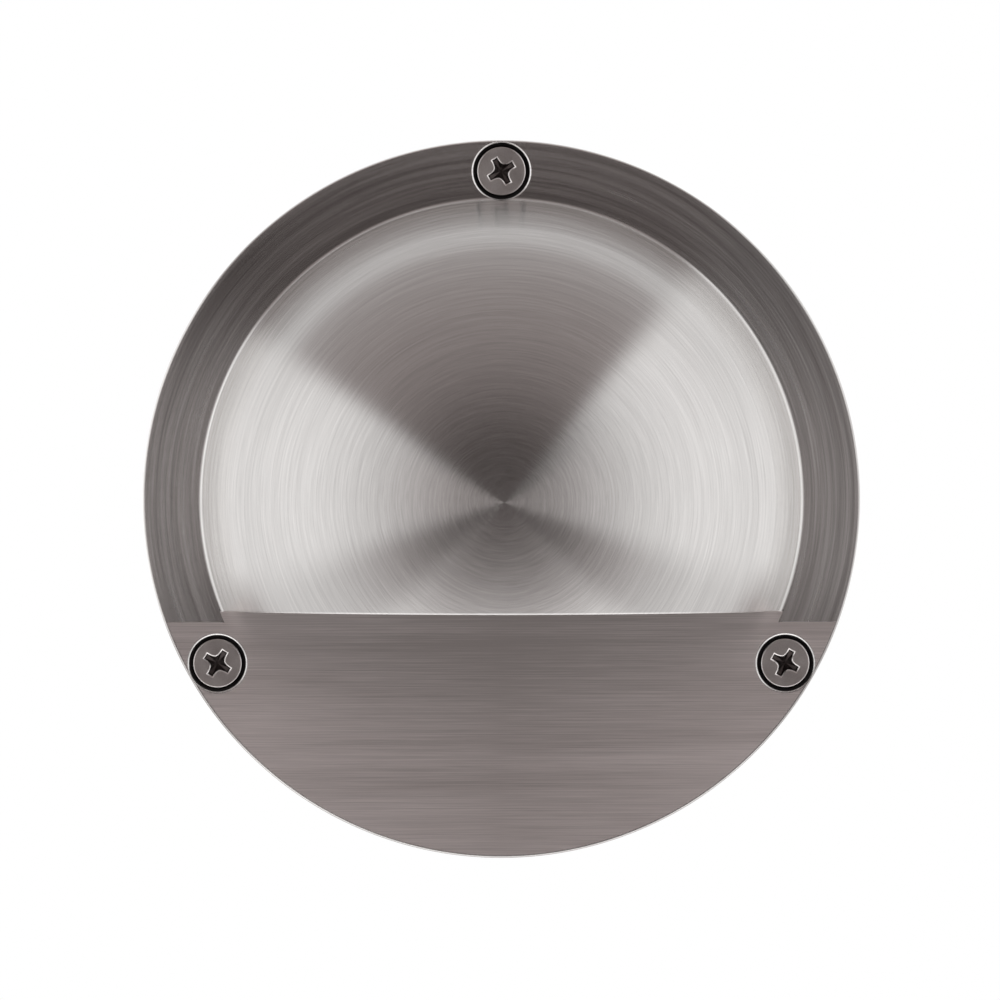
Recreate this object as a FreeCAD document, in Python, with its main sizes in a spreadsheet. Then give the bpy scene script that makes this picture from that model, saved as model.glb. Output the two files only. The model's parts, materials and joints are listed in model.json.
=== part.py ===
"""Round recessed step light: a brushed face plate with a pressed hood in front of a sealed lamp engine.

Millimetres. X is to the right, Z is up and Y runs into the wall. The origin is the centre of the wall
surface, so everything in front of the wall has a negative Y and the canister in its recess a positive Y.
"""
import FreeCAD, Part
import math
import os
import Sketcher

V = FreeCAD.Vector

SIZES = {
    # face plate with its pressed hood
    "plate_diameter": 110.0,
    "plate_thickness": 2.5,
    "plate_edge_chamfer": 0.4,
    "ring_width": 9.0,
    "crown_sphere_radius": 61.3,
    "shoulder_inset": 8.0,
    "shoulder_round": 18.0,
    "flank_slope": 58.5,
    "hood_wall": 1.6,
    "hood_root_round": 0.8,
    "mouth_drop": 17.2,
    "face_screw_inset": 4.75,
    "face_screw_count": 3,
    "face_hole_diameter": 4.5,
    "face_sink_diameter": 9.0,
    # machine screws of the face plate and the inserts that take them
    "face_screw_diameter": 4.0,
    "face_screw_length": 16.0,
    "face_head_diameter": 7.5,
    "cross_span": 4.6,
    "cross_width": 1.1,
    "cross_depth": 1.5,
    "insert_diameter": 5.2,
    "insert_length": 8.0,
    # gasket and canister
    "face_gasket_thickness": 1.5,
    "gasket_hole_clearance": 0.6,
    "flange_thickness": 2.5,
    "flange_inset": 1.0,
    "plate_overlap": 7.0,
    "canister_wall": 2.5,
    "collar_step": 0.6,
    "canister_depth": 74.0,
    "canister_rear_chamfer": 2.5,
    "boss_diameter": 7.5,
    "boss_floor": 1.5,
    "tip_clearance": 0.5,
    "ledge_floor": 1.5,
    # sealed lamp engine
    "engine_clearance": 0.5,
    "engine_step": 7.0,
    "ledge_clearance": 1.2,
    "rim_depth": 12.9,
    "seat_gasket_thickness": 1.0,
    "bezel_gap": 0.5,
    "bezel_thickness": 1.6,
    "glass_inset": 6.5,
    "glass_lap": 2.0,
    "glass_thickness": 4.0,
    "glass_clearance": 0.4,
    "lens_seal_thickness": 1.2,
    "lens_shelf": 4.0,
    "cavity_depth": 8.7,
    "floor_thickness": 4.0,
    "fin_height": 12.0,
    "fin_thickness": 1.6,
    "fin_gap": 6.8,
    "fin_slot_count": 9,
    # screws of the lamp engine
    "engine_screw_inset": 3.2,
    "engine_screw_count": 3,
    "engine_screw_diameter": 3.0,
    "engine_screw_length": 25.0,
    "engine_head_diameter": 5.6,
    "screw_hole_clearance": 0.4,
    "pan_head_radius_ratio": 0.85,
    "pan_head_height_ratio": 0.6,
    # light board
    "pad_thickness": 0.5,
    "pad_inset": 6.0,
    "board_corner_gap": 3.4,
    "board_thickness": 1.6,
    "board_screw_inset": 3.5,
    "board_screw_diameter": 3.0,
    "board_screw_length": 5.0,
    "chip_size": 3.0,
    "chip_height": 0.8,
    "chip_count": 8,
    "chip_circle": 20.0,
    "connector_width": 5.0,
    "connector_height": 3.0,
    "connector_length": 4.0,
    # leads
    "lamp_lead_diameter": 1.3,
    "lamp_lead_spacing": 1.6,
    "lamp_lead_slot": 2,
    "lamp_lead_gap": 3.5,
    "lead_side_count": 6,
    "mains_lead_diameter": 2.2,
    "lead_hole_clearance": 0.2,
    "grommet_wall": 0.7,
    "grommet_flange": 0.6,
    "grommet_flange_thickness": 0.8,
    # driver
    "driver_length": 50.0,
    "driver_height": 30.0,
    "driver_case_depth": 16.0,
    "driver_lid_thickness": 2.0,
    "driver_lip": 1.2,
    "driver_wall": 1.8,
    "driver_base": 2.0,
    "ear_length": 8.5,
    "ear_height": 10.0,
    "ear_thickness": 2.5,
    "driver_screw_offset": 29.0,
    "driver_screw_diameter": 3.0,
    "driver_screw_length": 8.0,
    "driver_post_diameter": 7.0,
    "thread_depth": 8.0,
    "driver_board_thickness": 1.6,
    "driver_board_lift": 1.6,
    "driver_rail_width": 3.0,
    "driver_board_clearance": 0.4,
    "fit_clearance": 0.1,
    "transformer_side": 14.0,
    "transformer_offset": -1.0,
    "capacitor_diameter": 8.0,
    "capacitor_side_offset": 12.5,
    "capacitor_low_offset": -7.5,
    "tall_part_gap": 1.0,
    "lead_block_length": 5.0,
    "lead_block_height": 7.0,
    "lead_block_gap": 2.0,
    # terminal block
    "terminal_offset": 24.0,
    "terminal_length": 14.0,
    "terminal_depth": 11.5,
    "terminal_pitch": 9.0,
    "terminal_rail_height": 6.0,
    "terminal_rail_width": 6.0,
    "cage_side": 4.8,
    "cage_opening": 3.0,
    "cage_length": 8.0,
    "terminal_axis_depth": 7.0,
    "terminal_screw_diameter": 2.8,
    "terminal_screw_sink": 1.0,
    "fixing_diameter": 3.0,
    "fixing_length": 12.0,
    "fixing_sink": 4.0,
    # protective earth
    "earth_side_offset": 12.6,
    "earth_low_offset": -24.0,
    "earth_post_diameter": 8.0,
    "earth_screw_diameter": 4.0,
    "earth_screw_length": 8.0,
    "lug_thickness": 0.8,
    "lug_diameter": 8.0,
    "lug_barrel_length": 7.0,
    "lug_barrel_wall": 0.7,
    "lug_lead_length": 3.5,
    # cable gland and spare entry
    "entry_offset": 22.0,
    "gland_thread_diameter": 16.0,
    "entry_clearance": 0.2,
    "gland_hex": 22.0,
    "gland_hex_length": 6.0,
    "gland_washer_thickness": 1.5,
    "gland_washer_diameter": 21.0,
    "gland_spigot": 9.5,
    "locknut_length": 5.0,
    "gland_neck_length": 7.5,
    "gland_inlet": 9.0,
    "seal_diameter": 11.2,
    "seal_bore": 7.0,
    "seal_length": 8.0,
    "seal_proud": 1.0,
    "cap_hex": 20.0,
    "cap_gap": 1.5,
    "cap_end_thickness": 3.0,
    "cap_hole": 8.4,
    "bung_flange_diameter": 21.0,
    "bung_inner_diameter": 18.4,
    "bung_flange_thickness": 2.0,
}

# Stations along Y, from the front of the lamp to its rear.
PLATE_BACK = "(-Sizes.flange_thickness - Sizes.face_gasket_thickness)"
PLATE_FRONT = f"({PLATE_BACK} - Sizes.plate_thickness)"
BEZEL_FRONT = f"({PLATE_BACK} + Sizes.bezel_gap)"
RIM = f"({BEZEL_FRONT} + Sizes.bezel_thickness)"
GLASS_BACK = f"({RIM} + Sizes.glass_thickness)"
LENS_LEDGE = f"({GLASS_BACK} + Sizes.lens_seal_thickness)"
CAVITY_FLOOR = f"({LENS_LEDGE} + Sizes.cavity_depth)"
FLOOR_BACK = f"({CAVITY_FLOOR} + Sizes.floor_thickness)"
FIN_TOP = f"({FLOOR_BACK} + Sizes.fin_height)"
SEAT = f"({RIM} + Sizes.rim_depth)"
CANISTER_LEDGE = f"({SEAT} + Sizes.seat_gasket_thickness)"
ENGINE_TIP = f"({BEZEL_FRONT} + Sizes.engine_screw_length)"
LEDGE_BACK = f"({ENGINE_TIP} + Sizes.tip_clearance + Sizes.ledge_floor)"
PAD_FRONT = f"({CAVITY_FLOOR} - Sizes.pad_thickness)"
BOARD_FRONT = f"({PAD_FRONT} - Sizes.board_thickness)"
CASE_BACK = f"({FIN_TOP} + Sizes.driver_case_depth)"
DRIVER_BOARD_FRONT = f"({FIN_TOP} + Sizes.driver_base + Sizes.driver_board_lift)"
DRIVER_BOARD_BACK = f"({DRIVER_BOARD_FRONT} + Sizes.driver_board_thickness)"
REAR_INSIDE = "(Sizes.canister_depth - Sizes.canister_wall)"
TERMINAL_BACK = f"({REAR_INSIDE} - Sizes.terminal_rail_height)"
TERMINAL_FRONT = f"({TERMINAL_BACK} - Sizes.terminal_depth)"
TERMINAL_AXIS = f"({TERMINAL_FRONT} + Sizes.terminal_axis_depth)"

# Radii that several pieces share, from the plate's edge inwards.
PLATE_RADIUS = "(Sizes.plate_diameter / 2)"
HOOD_RADIUS = f"({PLATE_RADIUS} - Sizes.ring_width)"
FACE_SCREW_Z = f"({PLATE_RADIUS} - Sizes.face_screw_inset)"
FLANGE_RADIUS = f"({PLATE_RADIUS} - Sizes.flange_inset)"
CANISTER_RADIUS = f"({PLATE_RADIUS} - Sizes.plate_overlap)"
COLLAR_RADIUS = f"({CANISTER_RADIUS} + Sizes.collar_step)"
CANISTER_INSIDE = f"({CANISTER_RADIUS} - Sizes.canister_wall)"
ENGINE_RADIUS = f"({CANISTER_INSIDE} - Sizes.engine_clearance)"
ENGINE_SCREW_Z = f"(-{ENGINE_RADIUS} + Sizes.engine_screw_inset)"
ENGINE_REAR = f"({ENGINE_RADIUS} - Sizes.engine_step)"
LEDGE_BORE = f"({ENGINE_REAR} + Sizes.ledge_clearance)"
GLASS_RADIUS = f"({ENGINE_RADIUS} - Sizes.glass_inset)"
POCKET_RADIUS = f"({GLASS_RADIUS} + Sizes.glass_clearance)"
BEZEL_BORE = f"({GLASS_RADIUS} - Sizes.glass_lap)"
CAVITY_RADIUS = f"({GLASS_RADIUS} - Sizes.lens_shelf)"
BOARD_HALF = f"(({CAVITY_RADIUS} - Sizes.board_corner_gap) * cos(45))"
BOARD_SCREW = f"({BOARD_HALF} - Sizes.board_screw_inset)"

# Hood in section: a spherical crown, a shoulder arc that runs on from it and a straight flank to the root.
SHOULDER_START = f"({HOOD_RADIUS} - Sizes.shoulder_inset)"
CROWN_SINE = f"({SHOULDER_START} / Sizes.crown_sphere_radius)"
CROWN_COSINE = f"sqrt(1 - {CROWN_SINE} ^ 2)"
SHOULDER_CENTRE = "(Sizes.crown_sphere_radius - Sizes.shoulder_round)"
FLANK_START = f"({SHOULDER_CENTRE} * {CROWN_SINE} + Sizes.shoulder_round * sin(Sizes.flank_slope))"
FLANK_RISE = f"(({HOOD_RADIUS} - {FLANK_START}) * tan(Sizes.flank_slope))"
FLANK_TOP = f"({PLATE_FRONT} - {FLANK_RISE})"
CROWN_CENTRE = (
    f"({FLANK_TOP} + {SHOULDER_CENTRE} * {CROWN_COSINE} + Sizes.shoulder_round * cos(Sizes.flank_slope))"
)

# Measures that come from several sizes.
FIN_PITCH = "(Sizes.fin_gap + Sizes.fin_thickness)"
LAMP_LEAD_X = f"(-{FIN_PITCH} * Sizes.lamp_lead_slot)"
LAMP_LEAD_Z = f"({BOARD_HALF} + Sizes.lamp_lead_gap)"
ENTRY_RADIUS = "(Sizes.gland_thread_diameter / 2 + Sizes.entry_clearance / 2)"
GROMMET_BORE = "((Sizes.lamp_lead_spacing + Sizes.lamp_lead_diameter + Sizes.lead_hole_clearance) / 2)"
GROMMET_RADIUS = f"({GROMMET_BORE} + Sizes.grommet_wall)"
HALF_LENGTH = "(Sizes.driver_length / 2)"
HALF_HEIGHT = "(Sizes.driver_height / 2)"
BLOCK_HALF = "(Sizes.terminal_pitch * 1.5)"

# Places of screws, poles and leads.
DRIVER_SCREW_X = ("-Sizes.driver_screw_offset", "Sizes.driver_screw_offset")
BOARD_SCREWS = ((BOARD_SCREW, BOARD_SCREW), (f"-{BOARD_SCREW}", f"-{BOARD_SCREW}"))
POLES = ("(-Sizes.terminal_pitch)", "0", "Sizes.terminal_pitch")
FIXING_Z = ("(-Sizes.terminal_pitch / 2)", "(Sizes.terminal_pitch / 2)")
POLE_ENTRY = "(Sizes.terminal_offset - Sizes.terminal_screw_diameter / 2)"
POLE_SEAT = f"({TERMINAL_AXIS} + Sizes.cage_opening / 2 - Sizes.mains_lead_diameter / 2)"
MAINS_Z = ("0", "Sizes.terminal_pitch")
LAMP_X = (
    f"({LAMP_LEAD_X} - Sizes.lamp_lead_spacing / 2)",
    f"({LAMP_LEAD_X} + Sizes.lamp_lead_spacing / 2)",
)
LEAD_HOLE_Y = f"({FIN_TOP} + Sizes.driver_case_depth / 2 + Sizes.driver_base / 2)"
MAINS_END = f"({HALF_LENGTH} - Sizes.driver_wall - Sizes.lead_block_gap)"
LAMP_END = f"({HALF_HEIGHT} - Sizes.driver_wall - Sizes.lead_block_gap)"
LUG_NEAR = "(Sizes.earth_side_offset + Sizes.lug_diameter / 2)"
LUG_AXIS = f"({FIN_TOP} + Sizes.mains_lead_diameter / 2 + Sizes.lug_barrel_wall)"

# Share of a lead's straight run that the bend at its end takes.
BEND_SHARE = 0.45

# Distance within which two measures of a shape count as the same.
NEAR = 1e-4

# Depth of the face screw's head below the plate, and where its tip and the boss round it end.
HEAD_SINK = "((Sizes.face_sink_diameter - Sizes.face_head_diameter) / 2)"
FACE_HEAD_TOP = f"({PLATE_FRONT} + {HEAD_SINK})"
FACE_TIP = f"({FACE_HEAD_TOP} + Sizes.face_screw_length)"
BOSS_END = f"({FACE_TIP} + Sizes.tip_clearance + Sizes.boss_floor)"

doc = FreeCAD.newDocument("StepLight")
sheet = doc.addObject("Spreadsheet::Sheet", "Sizes")
for row, (name, value) in enumerate(SIZES.items(), 1):
    sheet.set(f"A{row}", name)
    sheet.set(f"B{row}", str(value))
    sheet.setAlias(f"B{row}", name)
doc.recompute()

parts = []


def size(expression):
    """Value of an expression of the sheet's sizes."""
    return float(sheet.evalExpression(expression))


def origin_feature(body, role):
    """Origin plane or axis of a body."""
    return next(feature for feature in body.Origin.OriginFeatures if feature.Role == role)


def new_part(label):
    """Empty body of one sub-part; its label is its name."""
    body = doc.addObject("PartDesign::Body", label)
    body.Label = label
    body.AllowCompound = True
    parts.append(body)
    return body


def new_sketch(body, name, role, offset):
    """Sketch on an origin plane of the body, moved along that plane's normal."""
    sketch = body.newObject("Sketcher::SketchObject", name)
    sketch.AttachmentSupport = [(origin_feature(body, role), "")]
    sketch.MapMode = "FlatFace"
    sketch.setExpression("AttachmentOffset.Base.z", offset)
    return sketch


def wall_sketch(body, name, station):
    """Sketch parallel to the wall at a Y station; its own axes are X and Z."""
    return new_sketch(body, name, "XZ_Plane", f"-({station})")


def hold(sketch, kind, *target):
    """Length in a sketch that is held at an expression of the sheet's sizes."""
    *geometry, expression = target
    index = sketch.addConstraint(Sketcher.Constraint(kind, *geometry, size(expression)))
    sketch.setExpression(f"Constraints[{index}]", expression)


def arc_between(start, end, radius):
    """Arc from start to end, to the left of its chord's centre for a positive radius, and its end numbers."""
    half = (end - start) / 2
    side = V(-half.y, half.x, 0).normalize() * math.copysign(1, radius)
    centre = start + half + side * math.sqrt(radius * radius - half.Length ** 2)
    circle = Part.Circle(centre, V(0, 0, 1), abs(radius))
    angles = [math.atan2(p.y - centre.y, p.x - centre.x) for p in (start, end)]
    if radius > 0:
        return Part.ArcOfCircle(circle, *angles), 1, 2
    return Part.ArcOfCircle(circle, angles[1], angles[0]), 2, 1


def outline(sketch, corners):
    """Closed outline. A corner is (x, y), or (x, y, radius) where the side that leaves it is an arc."""
    places = [V(size(corner[0]), size(corner[1]), 0) for corner in corners]
    sides = []
    for number, corner in enumerate(corners):
        start = places[number]
        end = places[(number + 1) % len(corners)]
        if len(corner) == 2:
            curve, first, last = Part.LineSegment(start, end), 1, 2
        else:
            curve, first, last = arc_between(start, end, size(corner[2]))
        sides.append((sketch.addGeometry(curve, False), first, last))
    for number, corner in enumerate(corners):
        side, first, last = sides[number]
        following = sides[(number + 1) % len(corners)]
        sketch.addConstraint(Sketcher.Constraint("Coincident", side, last, following[0], following[1]))
        hold(sketch, "DistanceX", -1, 1, side, first, corner[0])
        hold(sketch, "DistanceY", -1, 1, side, first, corner[1])
        if len(corner) == 3:
            hold(sketch, "Radius", side, f"abs({corner[2]})")


def circle(sketch, x, y, radius):
    """Circle in a sketch."""
    side = sketch.addGeometry(Part.Circle(V(size(x), size(y), 0), V(0, 0, 1), size(radius)), False)
    hold(sketch, "Radius", side, radius)
    hold(sketch, "DistanceX", -1, 1, side, 3, x)
    hold(sketch, "DistanceY", -1, 1, side, 3, y)


def rectangle(sketch, left, right, low, high):
    """Upright rectangle in a sketch."""
    outline(sketch, [(left, low), (right, low), (right, high), (left, high)])


def hexagon(sketch, x, y, across_flats):
    """Hexagon with two corners level with its centre."""
    corner = f"{across_flats} / (2 * cos(30))"
    outline(sketch, [
        (f"{x} + {corner} * cos({turn})", f"{y} + {corner} * sin({turn})") for turn in range(0, 360, 60)
    ])


def finish(body, feature, volume_before=None):
    """Feature as the body's last one; a cut has to take something away."""
    body.Tip = feature
    doc.recompute()
    if volume_before is not None and not body.Shape.Volume < volume_before - NEAR:
        raise ValueError(f"{body.Label}: {feature.Name} cuts nothing")
    return feature


def turned(body, name, corners, x="0", z="0", cut=False):
    """Solid, or cut, turned about an axis along Y through x and z; corners are (radius, y station)."""
    volume = body.Shape.Volume if cut else None
    sketch = new_sketch(body, f"{name}_profile", "XY_Plane", z)
    outline(sketch, [(f"{x} + {corner[0]}", *corner[1:]) for corner in corners])
    axis = sketch.addGeometry(Part.LineSegment(V(size(x), 0, 0), V(size(x), 1, 0)), True)
    sketch.addConstraint(Sketcher.Constraint("Vertical", axis))
    hold(sketch, "DistanceX", -1, 1, axis, 1, x)
    hold(sketch, "DistanceY", -1, 1, axis, 1, "0")
    hold(sketch, "DistanceY", axis, 1, axis, 2, "1")
    feature = body.newObject("PartDesign::Groove" if cut else "PartDesign::Revolution", name)
    feature.Profile = sketch
    feature.ReferenceAxis = (sketch, ["Axis0"])
    feature.Angle = 360
    return finish(body, feature, volume)


def ring_corners(inner, outer, front, back):
    """Corners of a plain ring."""
    return [(inner, front), (outer, front), (outer, back), (inner, back)]


def padded(body, sketch, name, length, rearward=True):
    """Pad from a wall sketch, towards the rear or towards the front."""
    feature = body.newObject("PartDesign::Pad", name)
    feature.Profile = sketch
    feature.setExpression("Length", length)
    feature.Reversed = rearward
    return finish(body, feature)


def pocket(body, sketch, name, length=None, rearward=True, both_ways=False):
    """Pocket against the sketch's normal, along it, or both ways; right through where no length is given."""
    volume = body.Shape.Volume
    feature = body.newObject("PartDesign::Pocket", name)
    feature.Profile = sketch
    feature.Midplane = both_ways
    if length is None:
        feature.Type = "ThroughAll"
    else:
        feature.setExpression("Length", length)
    feature.Reversed = not rearward
    return finish(body, feature, volume)


def around(body, name, features, count):
    """Copies of features, evenly spaced about the lamp's axis."""
    pattern = body.newObject("PartDesign::PolarPattern", name)
    pattern.Originals = features
    pattern.Axis = (origin_feature(body, "Y_Axis"), [""])
    pattern.Angle = 360
    pattern.setExpression("Occurrences", count)
    return finish(body, pattern)


def along(body, name, features, role, length, count):
    """Copies of features in a row along an origin axis."""
    pattern = body.newObject("PartDesign::LinearPattern", name)
    pattern.Originals = features
    pattern.Direction = (origin_feature(body, role), [""])
    pattern.setExpression("Length", length)
    pattern.setExpression("Occurrences", count)
    return finish(body, pattern)


def round_edges(shape, radius, station):
    """Names of the circular edges about Y with this radius at this station."""
    names = []
    for number, edge in enumerate(shape.Edges, 1):
        if edge.Degenerated or not isinstance(edge.Curve, Part.Circle):
            continue
        curve = edge.Curve
        if abs(curve.Radius - size(radius)) < NEAR and abs(curve.Center.y - size(station)) < NEAR:
            names.append(f"Edge{number}")
    return names


def blended(body, base, name, radius, edge_radius, station, kind="PartDesign::Fillet"):
    """Fillet or chamfer on circular edges of a body's last feature."""
    feature = body.newObject(kind, name)
    feature.Base = (base, round_edges(base.Shape, edge_radius, station))
    feature.setExpression("Size" if kind.endswith("Chamfer") else "Radius", radius)
    return finish(body, feature)


def sunk_holes(body, name, station, x, z, hole, sink):
    """Countersunk clearance hole through a plate whose front is at the station."""
    volume = body.Shape.Volume
    sketch = wall_sketch(body, f"{name}_centre", station)
    circle(sketch, x, z, f"{hole} / 2")
    doc.recompute()
    feature = body.newObject("PartDesign::Hole", name)
    feature.Profile = sketch
    doc.recompute()
    feature.ThreadType = "None"
    feature.DepthType = "ThroughAll"
    feature.setExpression("Diameter", hole)
    feature.HoleCutType = "Countersink"
    feature.setExpression("HoleCutDiameter", sink)
    feature.HoleCutCountersinkAngle = 90
    return finish(body, feature, volume)


def flat_screw(body, name, top, tip, diameter, head, x="0", z="0"):
    """Countersunk screw turned about an axis along Y: its flat head is at the front station."""
    cone_end = f"{top} + ({head} - {diameter}) / 2"
    return turned(body, name, [
        ("0", top),
        (f"{head} / 2", top),
        (f"{diameter} / 2", cone_end),
        (f"{diameter} / 2", tip),
        ("0", tip),
    ], x, z)


def pan_screw(body, name, seat, length, diameter, towards, x="0", z="0"):
    """Pan head screw: its head stands off the seat, its shank runs towards the front (-1) or the rear (1)."""
    head_end = f"{seat} - {towards} * Sizes.pan_head_height_ratio * {diameter}"
    head = f"Sizes.pan_head_radius_ratio * {diameter}"
    corners = [
        ("0", head_end),
        (head, head_end),
        (head, seat),
        (f"{diameter} / 2", seat),
        (f"{diameter} / 2", f"{seat} + {towards} * {length}"),
        ("0", f"{seat} + {towards} * {length}"),
    ]
    return turned(body, name, corners, x, z)


def face_plate():
    """Disc of sheet with its hood pressed out of it, open below a level chord, over a flat lower segment."""
    body = new_part("face_plate")
    wall = "Sizes.hood_wall"
    slope = "Sizes.flank_slope"
    opening = f"({HOOD_RADIUS} - {wall} / sin({slope}) + Sizes.plate_thickness / tan({slope}))"
    dish = turned(body, "plate_and_dome", [
        ("0", f"{CROWN_CENTRE} - Sizes.crown_sphere_radius", "Sizes.crown_sphere_radius"),
        (SHOULDER_START, f"{CROWN_CENTRE} - Sizes.crown_sphere_radius * {CROWN_COSINE}",
         "Sizes.shoulder_round"),
        (FLANK_START, FLANK_TOP),
        (HOOD_RADIUS, PLATE_FRONT),
        (PLATE_RADIUS, PLATE_FRONT),
        (PLATE_RADIUS, PLATE_BACK),
        (opening, PLATE_BACK),
        (f"{FLANK_START} - {wall} * sin({slope})", f"{FLANK_TOP} + {wall} * cos({slope})",
         f"{wall} - Sizes.shoulder_round"),
        (f"{SHOULDER_START} - {wall} * {CROWN_SINE}",
         f"{CROWN_CENTRE} - (Sizes.crown_sphere_radius - {wall}) * {CROWN_COSINE}",
         f"{wall} - Sizes.crown_sphere_radius"),
        ("0", f"{CROWN_CENTRE} - Sizes.crown_sphere_radius + {wall}"),
    ])
    root = blended(body, dish, "hood_root", "Sizes.hood_root_round", HOOD_RADIUS, PLATE_FRONT)
    blended(body, root, "plate_edge", "Sizes.plate_edge_chamfer", PLATE_RADIUS, PLATE_FRONT,
            "PartDesign::Chamfer")

    segment_radius = f"({HOOD_RADIUS} + Sizes.hood_root_round)"
    beyond = f"({segment_radius} + {wall})"
    mouth = wall_sketch(body, "mouth_outline", PLATE_FRONT)
    rectangle(mouth, f"-{beyond}", beyond, f"-{beyond}", "-Sizes.mouth_drop")
    pocket(body, mouth, "mouth", rearward=False)

    half_chord = f"sqrt({segment_radius} ^ 2 - Sizes.mouth_drop ^ 2)"
    segment = wall_sketch(body, "segment_outline", PLATE_BACK)
    outline(segment, [
        (f"-{half_chord}", "-Sizes.mouth_drop", segment_radius),
        (half_chord, "-Sizes.mouth_drop"),
    ])
    padded(body, segment, "lower_segment", "Sizes.plate_thickness", rearward=False)

    hole = sunk_holes(body, "face_hole", PLATE_FRONT, "0", FACE_SCREW_Z,
                      "Sizes.face_hole_diameter", "Sizes.face_sink_diameter")
    around(body, "face_holes", [hole], "Sizes.face_screw_count")


def face_screws():
    """Countersunk machine screws with a cross recess, sunk below the plate."""
    body = new_part("face_screws")
    screw = flat_screw(body, "face_screw", FACE_HEAD_TOP, FACE_TIP,
                       "Sizes.face_screw_diameter", "Sizes.face_head_diameter", z=FACE_SCREW_Z)
    recess = [screw]
    for name, across, up in (
        ("wing_level", "Sizes.cross_span", "Sizes.cross_width"),
        ("wing_upright", "Sizes.cross_width", "Sizes.cross_span"),
    ):
        wing = wall_sketch(body, f"{name}_outline", FACE_HEAD_TOP)
        rectangle(wing, f"-{across} / 2", f"{across} / 2",
                  f"{FACE_SCREW_Z} - {up} / 2", f"{FACE_SCREW_Z} + {up} / 2")
        recess.append(pocket(body, wing, name, "Sizes.cross_depth"))
    around(body, "all_face_screws", recess, "Sizes.face_screw_count")


def face_gasket():
    """Flat foam ring between the plate and the canister's flange."""
    body = new_part("face_gasket")
    turned(body, "gasket_ring", ring_corners(
        f"{CANISTER_INSIDE} + Sizes.engine_clearance", FLANGE_RADIUS, PLATE_BACK, "-Sizes.flange_thickness"))
    sketch = wall_sketch(body, "gasket_hole_outline", PLATE_BACK)
    circle(sketch, "0", FACE_SCREW_Z, "Sizes.insert_diameter / 2 + Sizes.gasket_hole_clearance / 2")
    hole = pocket(body, sketch, "gasket_hole")
    around(body, "gasket_holes", [hole], "Sizes.face_screw_count")


def thread_inserts():
    """Brass inserts moulded into the flange's bosses."""
    body = new_part("thread_inserts")
    insert = turned(body, "thread_insert", ring_corners(
        "Sizes.face_screw_diameter / 2", "Sizes.insert_diameter / 2",
        "-Sizes.flange_thickness", "-Sizes.flange_thickness + Sizes.insert_length"), z=FACE_SCREW_Z)
    around(body, "all_inserts", [insert], "Sizes.face_screw_count")


def canister():
    """Moulded recess canister: flange, collar with bosses, engine ledge, and rear wall with two entries."""
    body = new_part("canister")
    shell = turned(body, "canister_shell", [
        (CANISTER_INSIDE, "-Sizes.flange_thickness"),
        (FLANGE_RADIUS, "-Sizes.flange_thickness"),
        (FLANGE_RADIUS, "0"),
        (COLLAR_RADIUS, "0"),
        (COLLAR_RADIUS, BOSS_END),
        (CANISTER_RADIUS, BOSS_END),
        (CANISTER_RADIUS, "Sizes.canister_depth"),
        ("0", "Sizes.canister_depth"),
        ("0", REAR_INSIDE),
        (CANISTER_INSIDE, REAR_INSIDE),
        (CANISTER_INSIDE, LEDGE_BACK),
        (LEDGE_BORE, LEDGE_BACK),
        (LEDGE_BORE, CANISTER_LEDGE),
        (CANISTER_INSIDE, CANISTER_LEDGE),
    ])
    blended(body, shell, "rear_edge", "Sizes.canister_rear_chamfer", CANISTER_RADIUS,
            "Sizes.canister_depth", "PartDesign::Chamfer")

    boss = wall_sketch(body, "boss_outline", "0")
    circle(boss, "0", FACE_SCREW_Z, "Sizes.boss_diameter / 2")
    boss_pad = padded(body, boss, "face_boss", BOSS_END)
    bore = wall_sketch(body, "insert_bore_outline", "-Sizes.flange_thickness")
    circle(bore, "0", FACE_SCREW_Z, "Sizes.insert_diameter / 2")
    insert_bore = pocket(body, bore, "insert_bore",
                         f"{FACE_TIP} + Sizes.tip_clearance + Sizes.flange_thickness")
    around(body, "face_bosses", [boss_pad, insert_bore], "Sizes.face_screw_count")

    thread = wall_sketch(body, "engine_thread_outline", CANISTER_LEDGE)
    circle(thread, "0", ENGINE_SCREW_Z, "Sizes.engine_screw_diameter / 2")
    engine_bore = pocket(body, thread, "engine_thread",
                         f"{ENGINE_TIP} + Sizes.tip_clearance - {CANISTER_LEDGE}")
    around(body, "engine_threads", [engine_bore], "Sizes.engine_screw_count")

    entries = wall_sketch(body, "entry_outline", REAR_INSIDE)
    circle(entries, "0", "Sizes.entry_offset", ENTRY_RADIUS)
    circle(entries, "0", "-Sizes.entry_offset", ENTRY_RADIUS)
    pocket(body, entries, "cable_entries")

    posts = wall_sketch(body, "terminal_rail_outline", TERMINAL_BACK)
    rectangle(posts, "Sizes.terminal_offset - Sizes.terminal_rail_width / 2",
              "Sizes.terminal_offset + Sizes.terminal_rail_width / 2", f"-{BLOCK_HALF}", BLOCK_HALF)
    holes = wall_sketch(body, "terminal_thread_outline", TERMINAL_BACK)
    for z in FIXING_Z:
        circle(holes, "Sizes.terminal_offset", z, "Sizes.fixing_diameter / 2")
    padded(body, posts, "terminal_rail", "Sizes.terminal_rail_height")
    fixing_tip = f"({TERMINAL_FRONT} + Sizes.fixing_sink + Sizes.fixing_length)"
    pocket(body, holes, "terminal_threads", f"{fixing_tip} + Sizes.tip_clearance - {TERMINAL_BACK}")


def seat_gasket():
    """Ring between the lamp engine's step and the canister's ledge, outside the engine's screws."""
    body = new_part("seat_gasket")
    inner = f"(-{ENGINE_SCREW_Z} + Sizes.engine_screw_diameter / 2 + Sizes.screw_hole_clearance)"
    outer = f"({CANISTER_INSIDE} - Sizes.fit_clearance)"
    turned(body, "seat_ring", ring_corners(inner, outer, SEAT, CANISTER_LEDGE))


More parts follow.
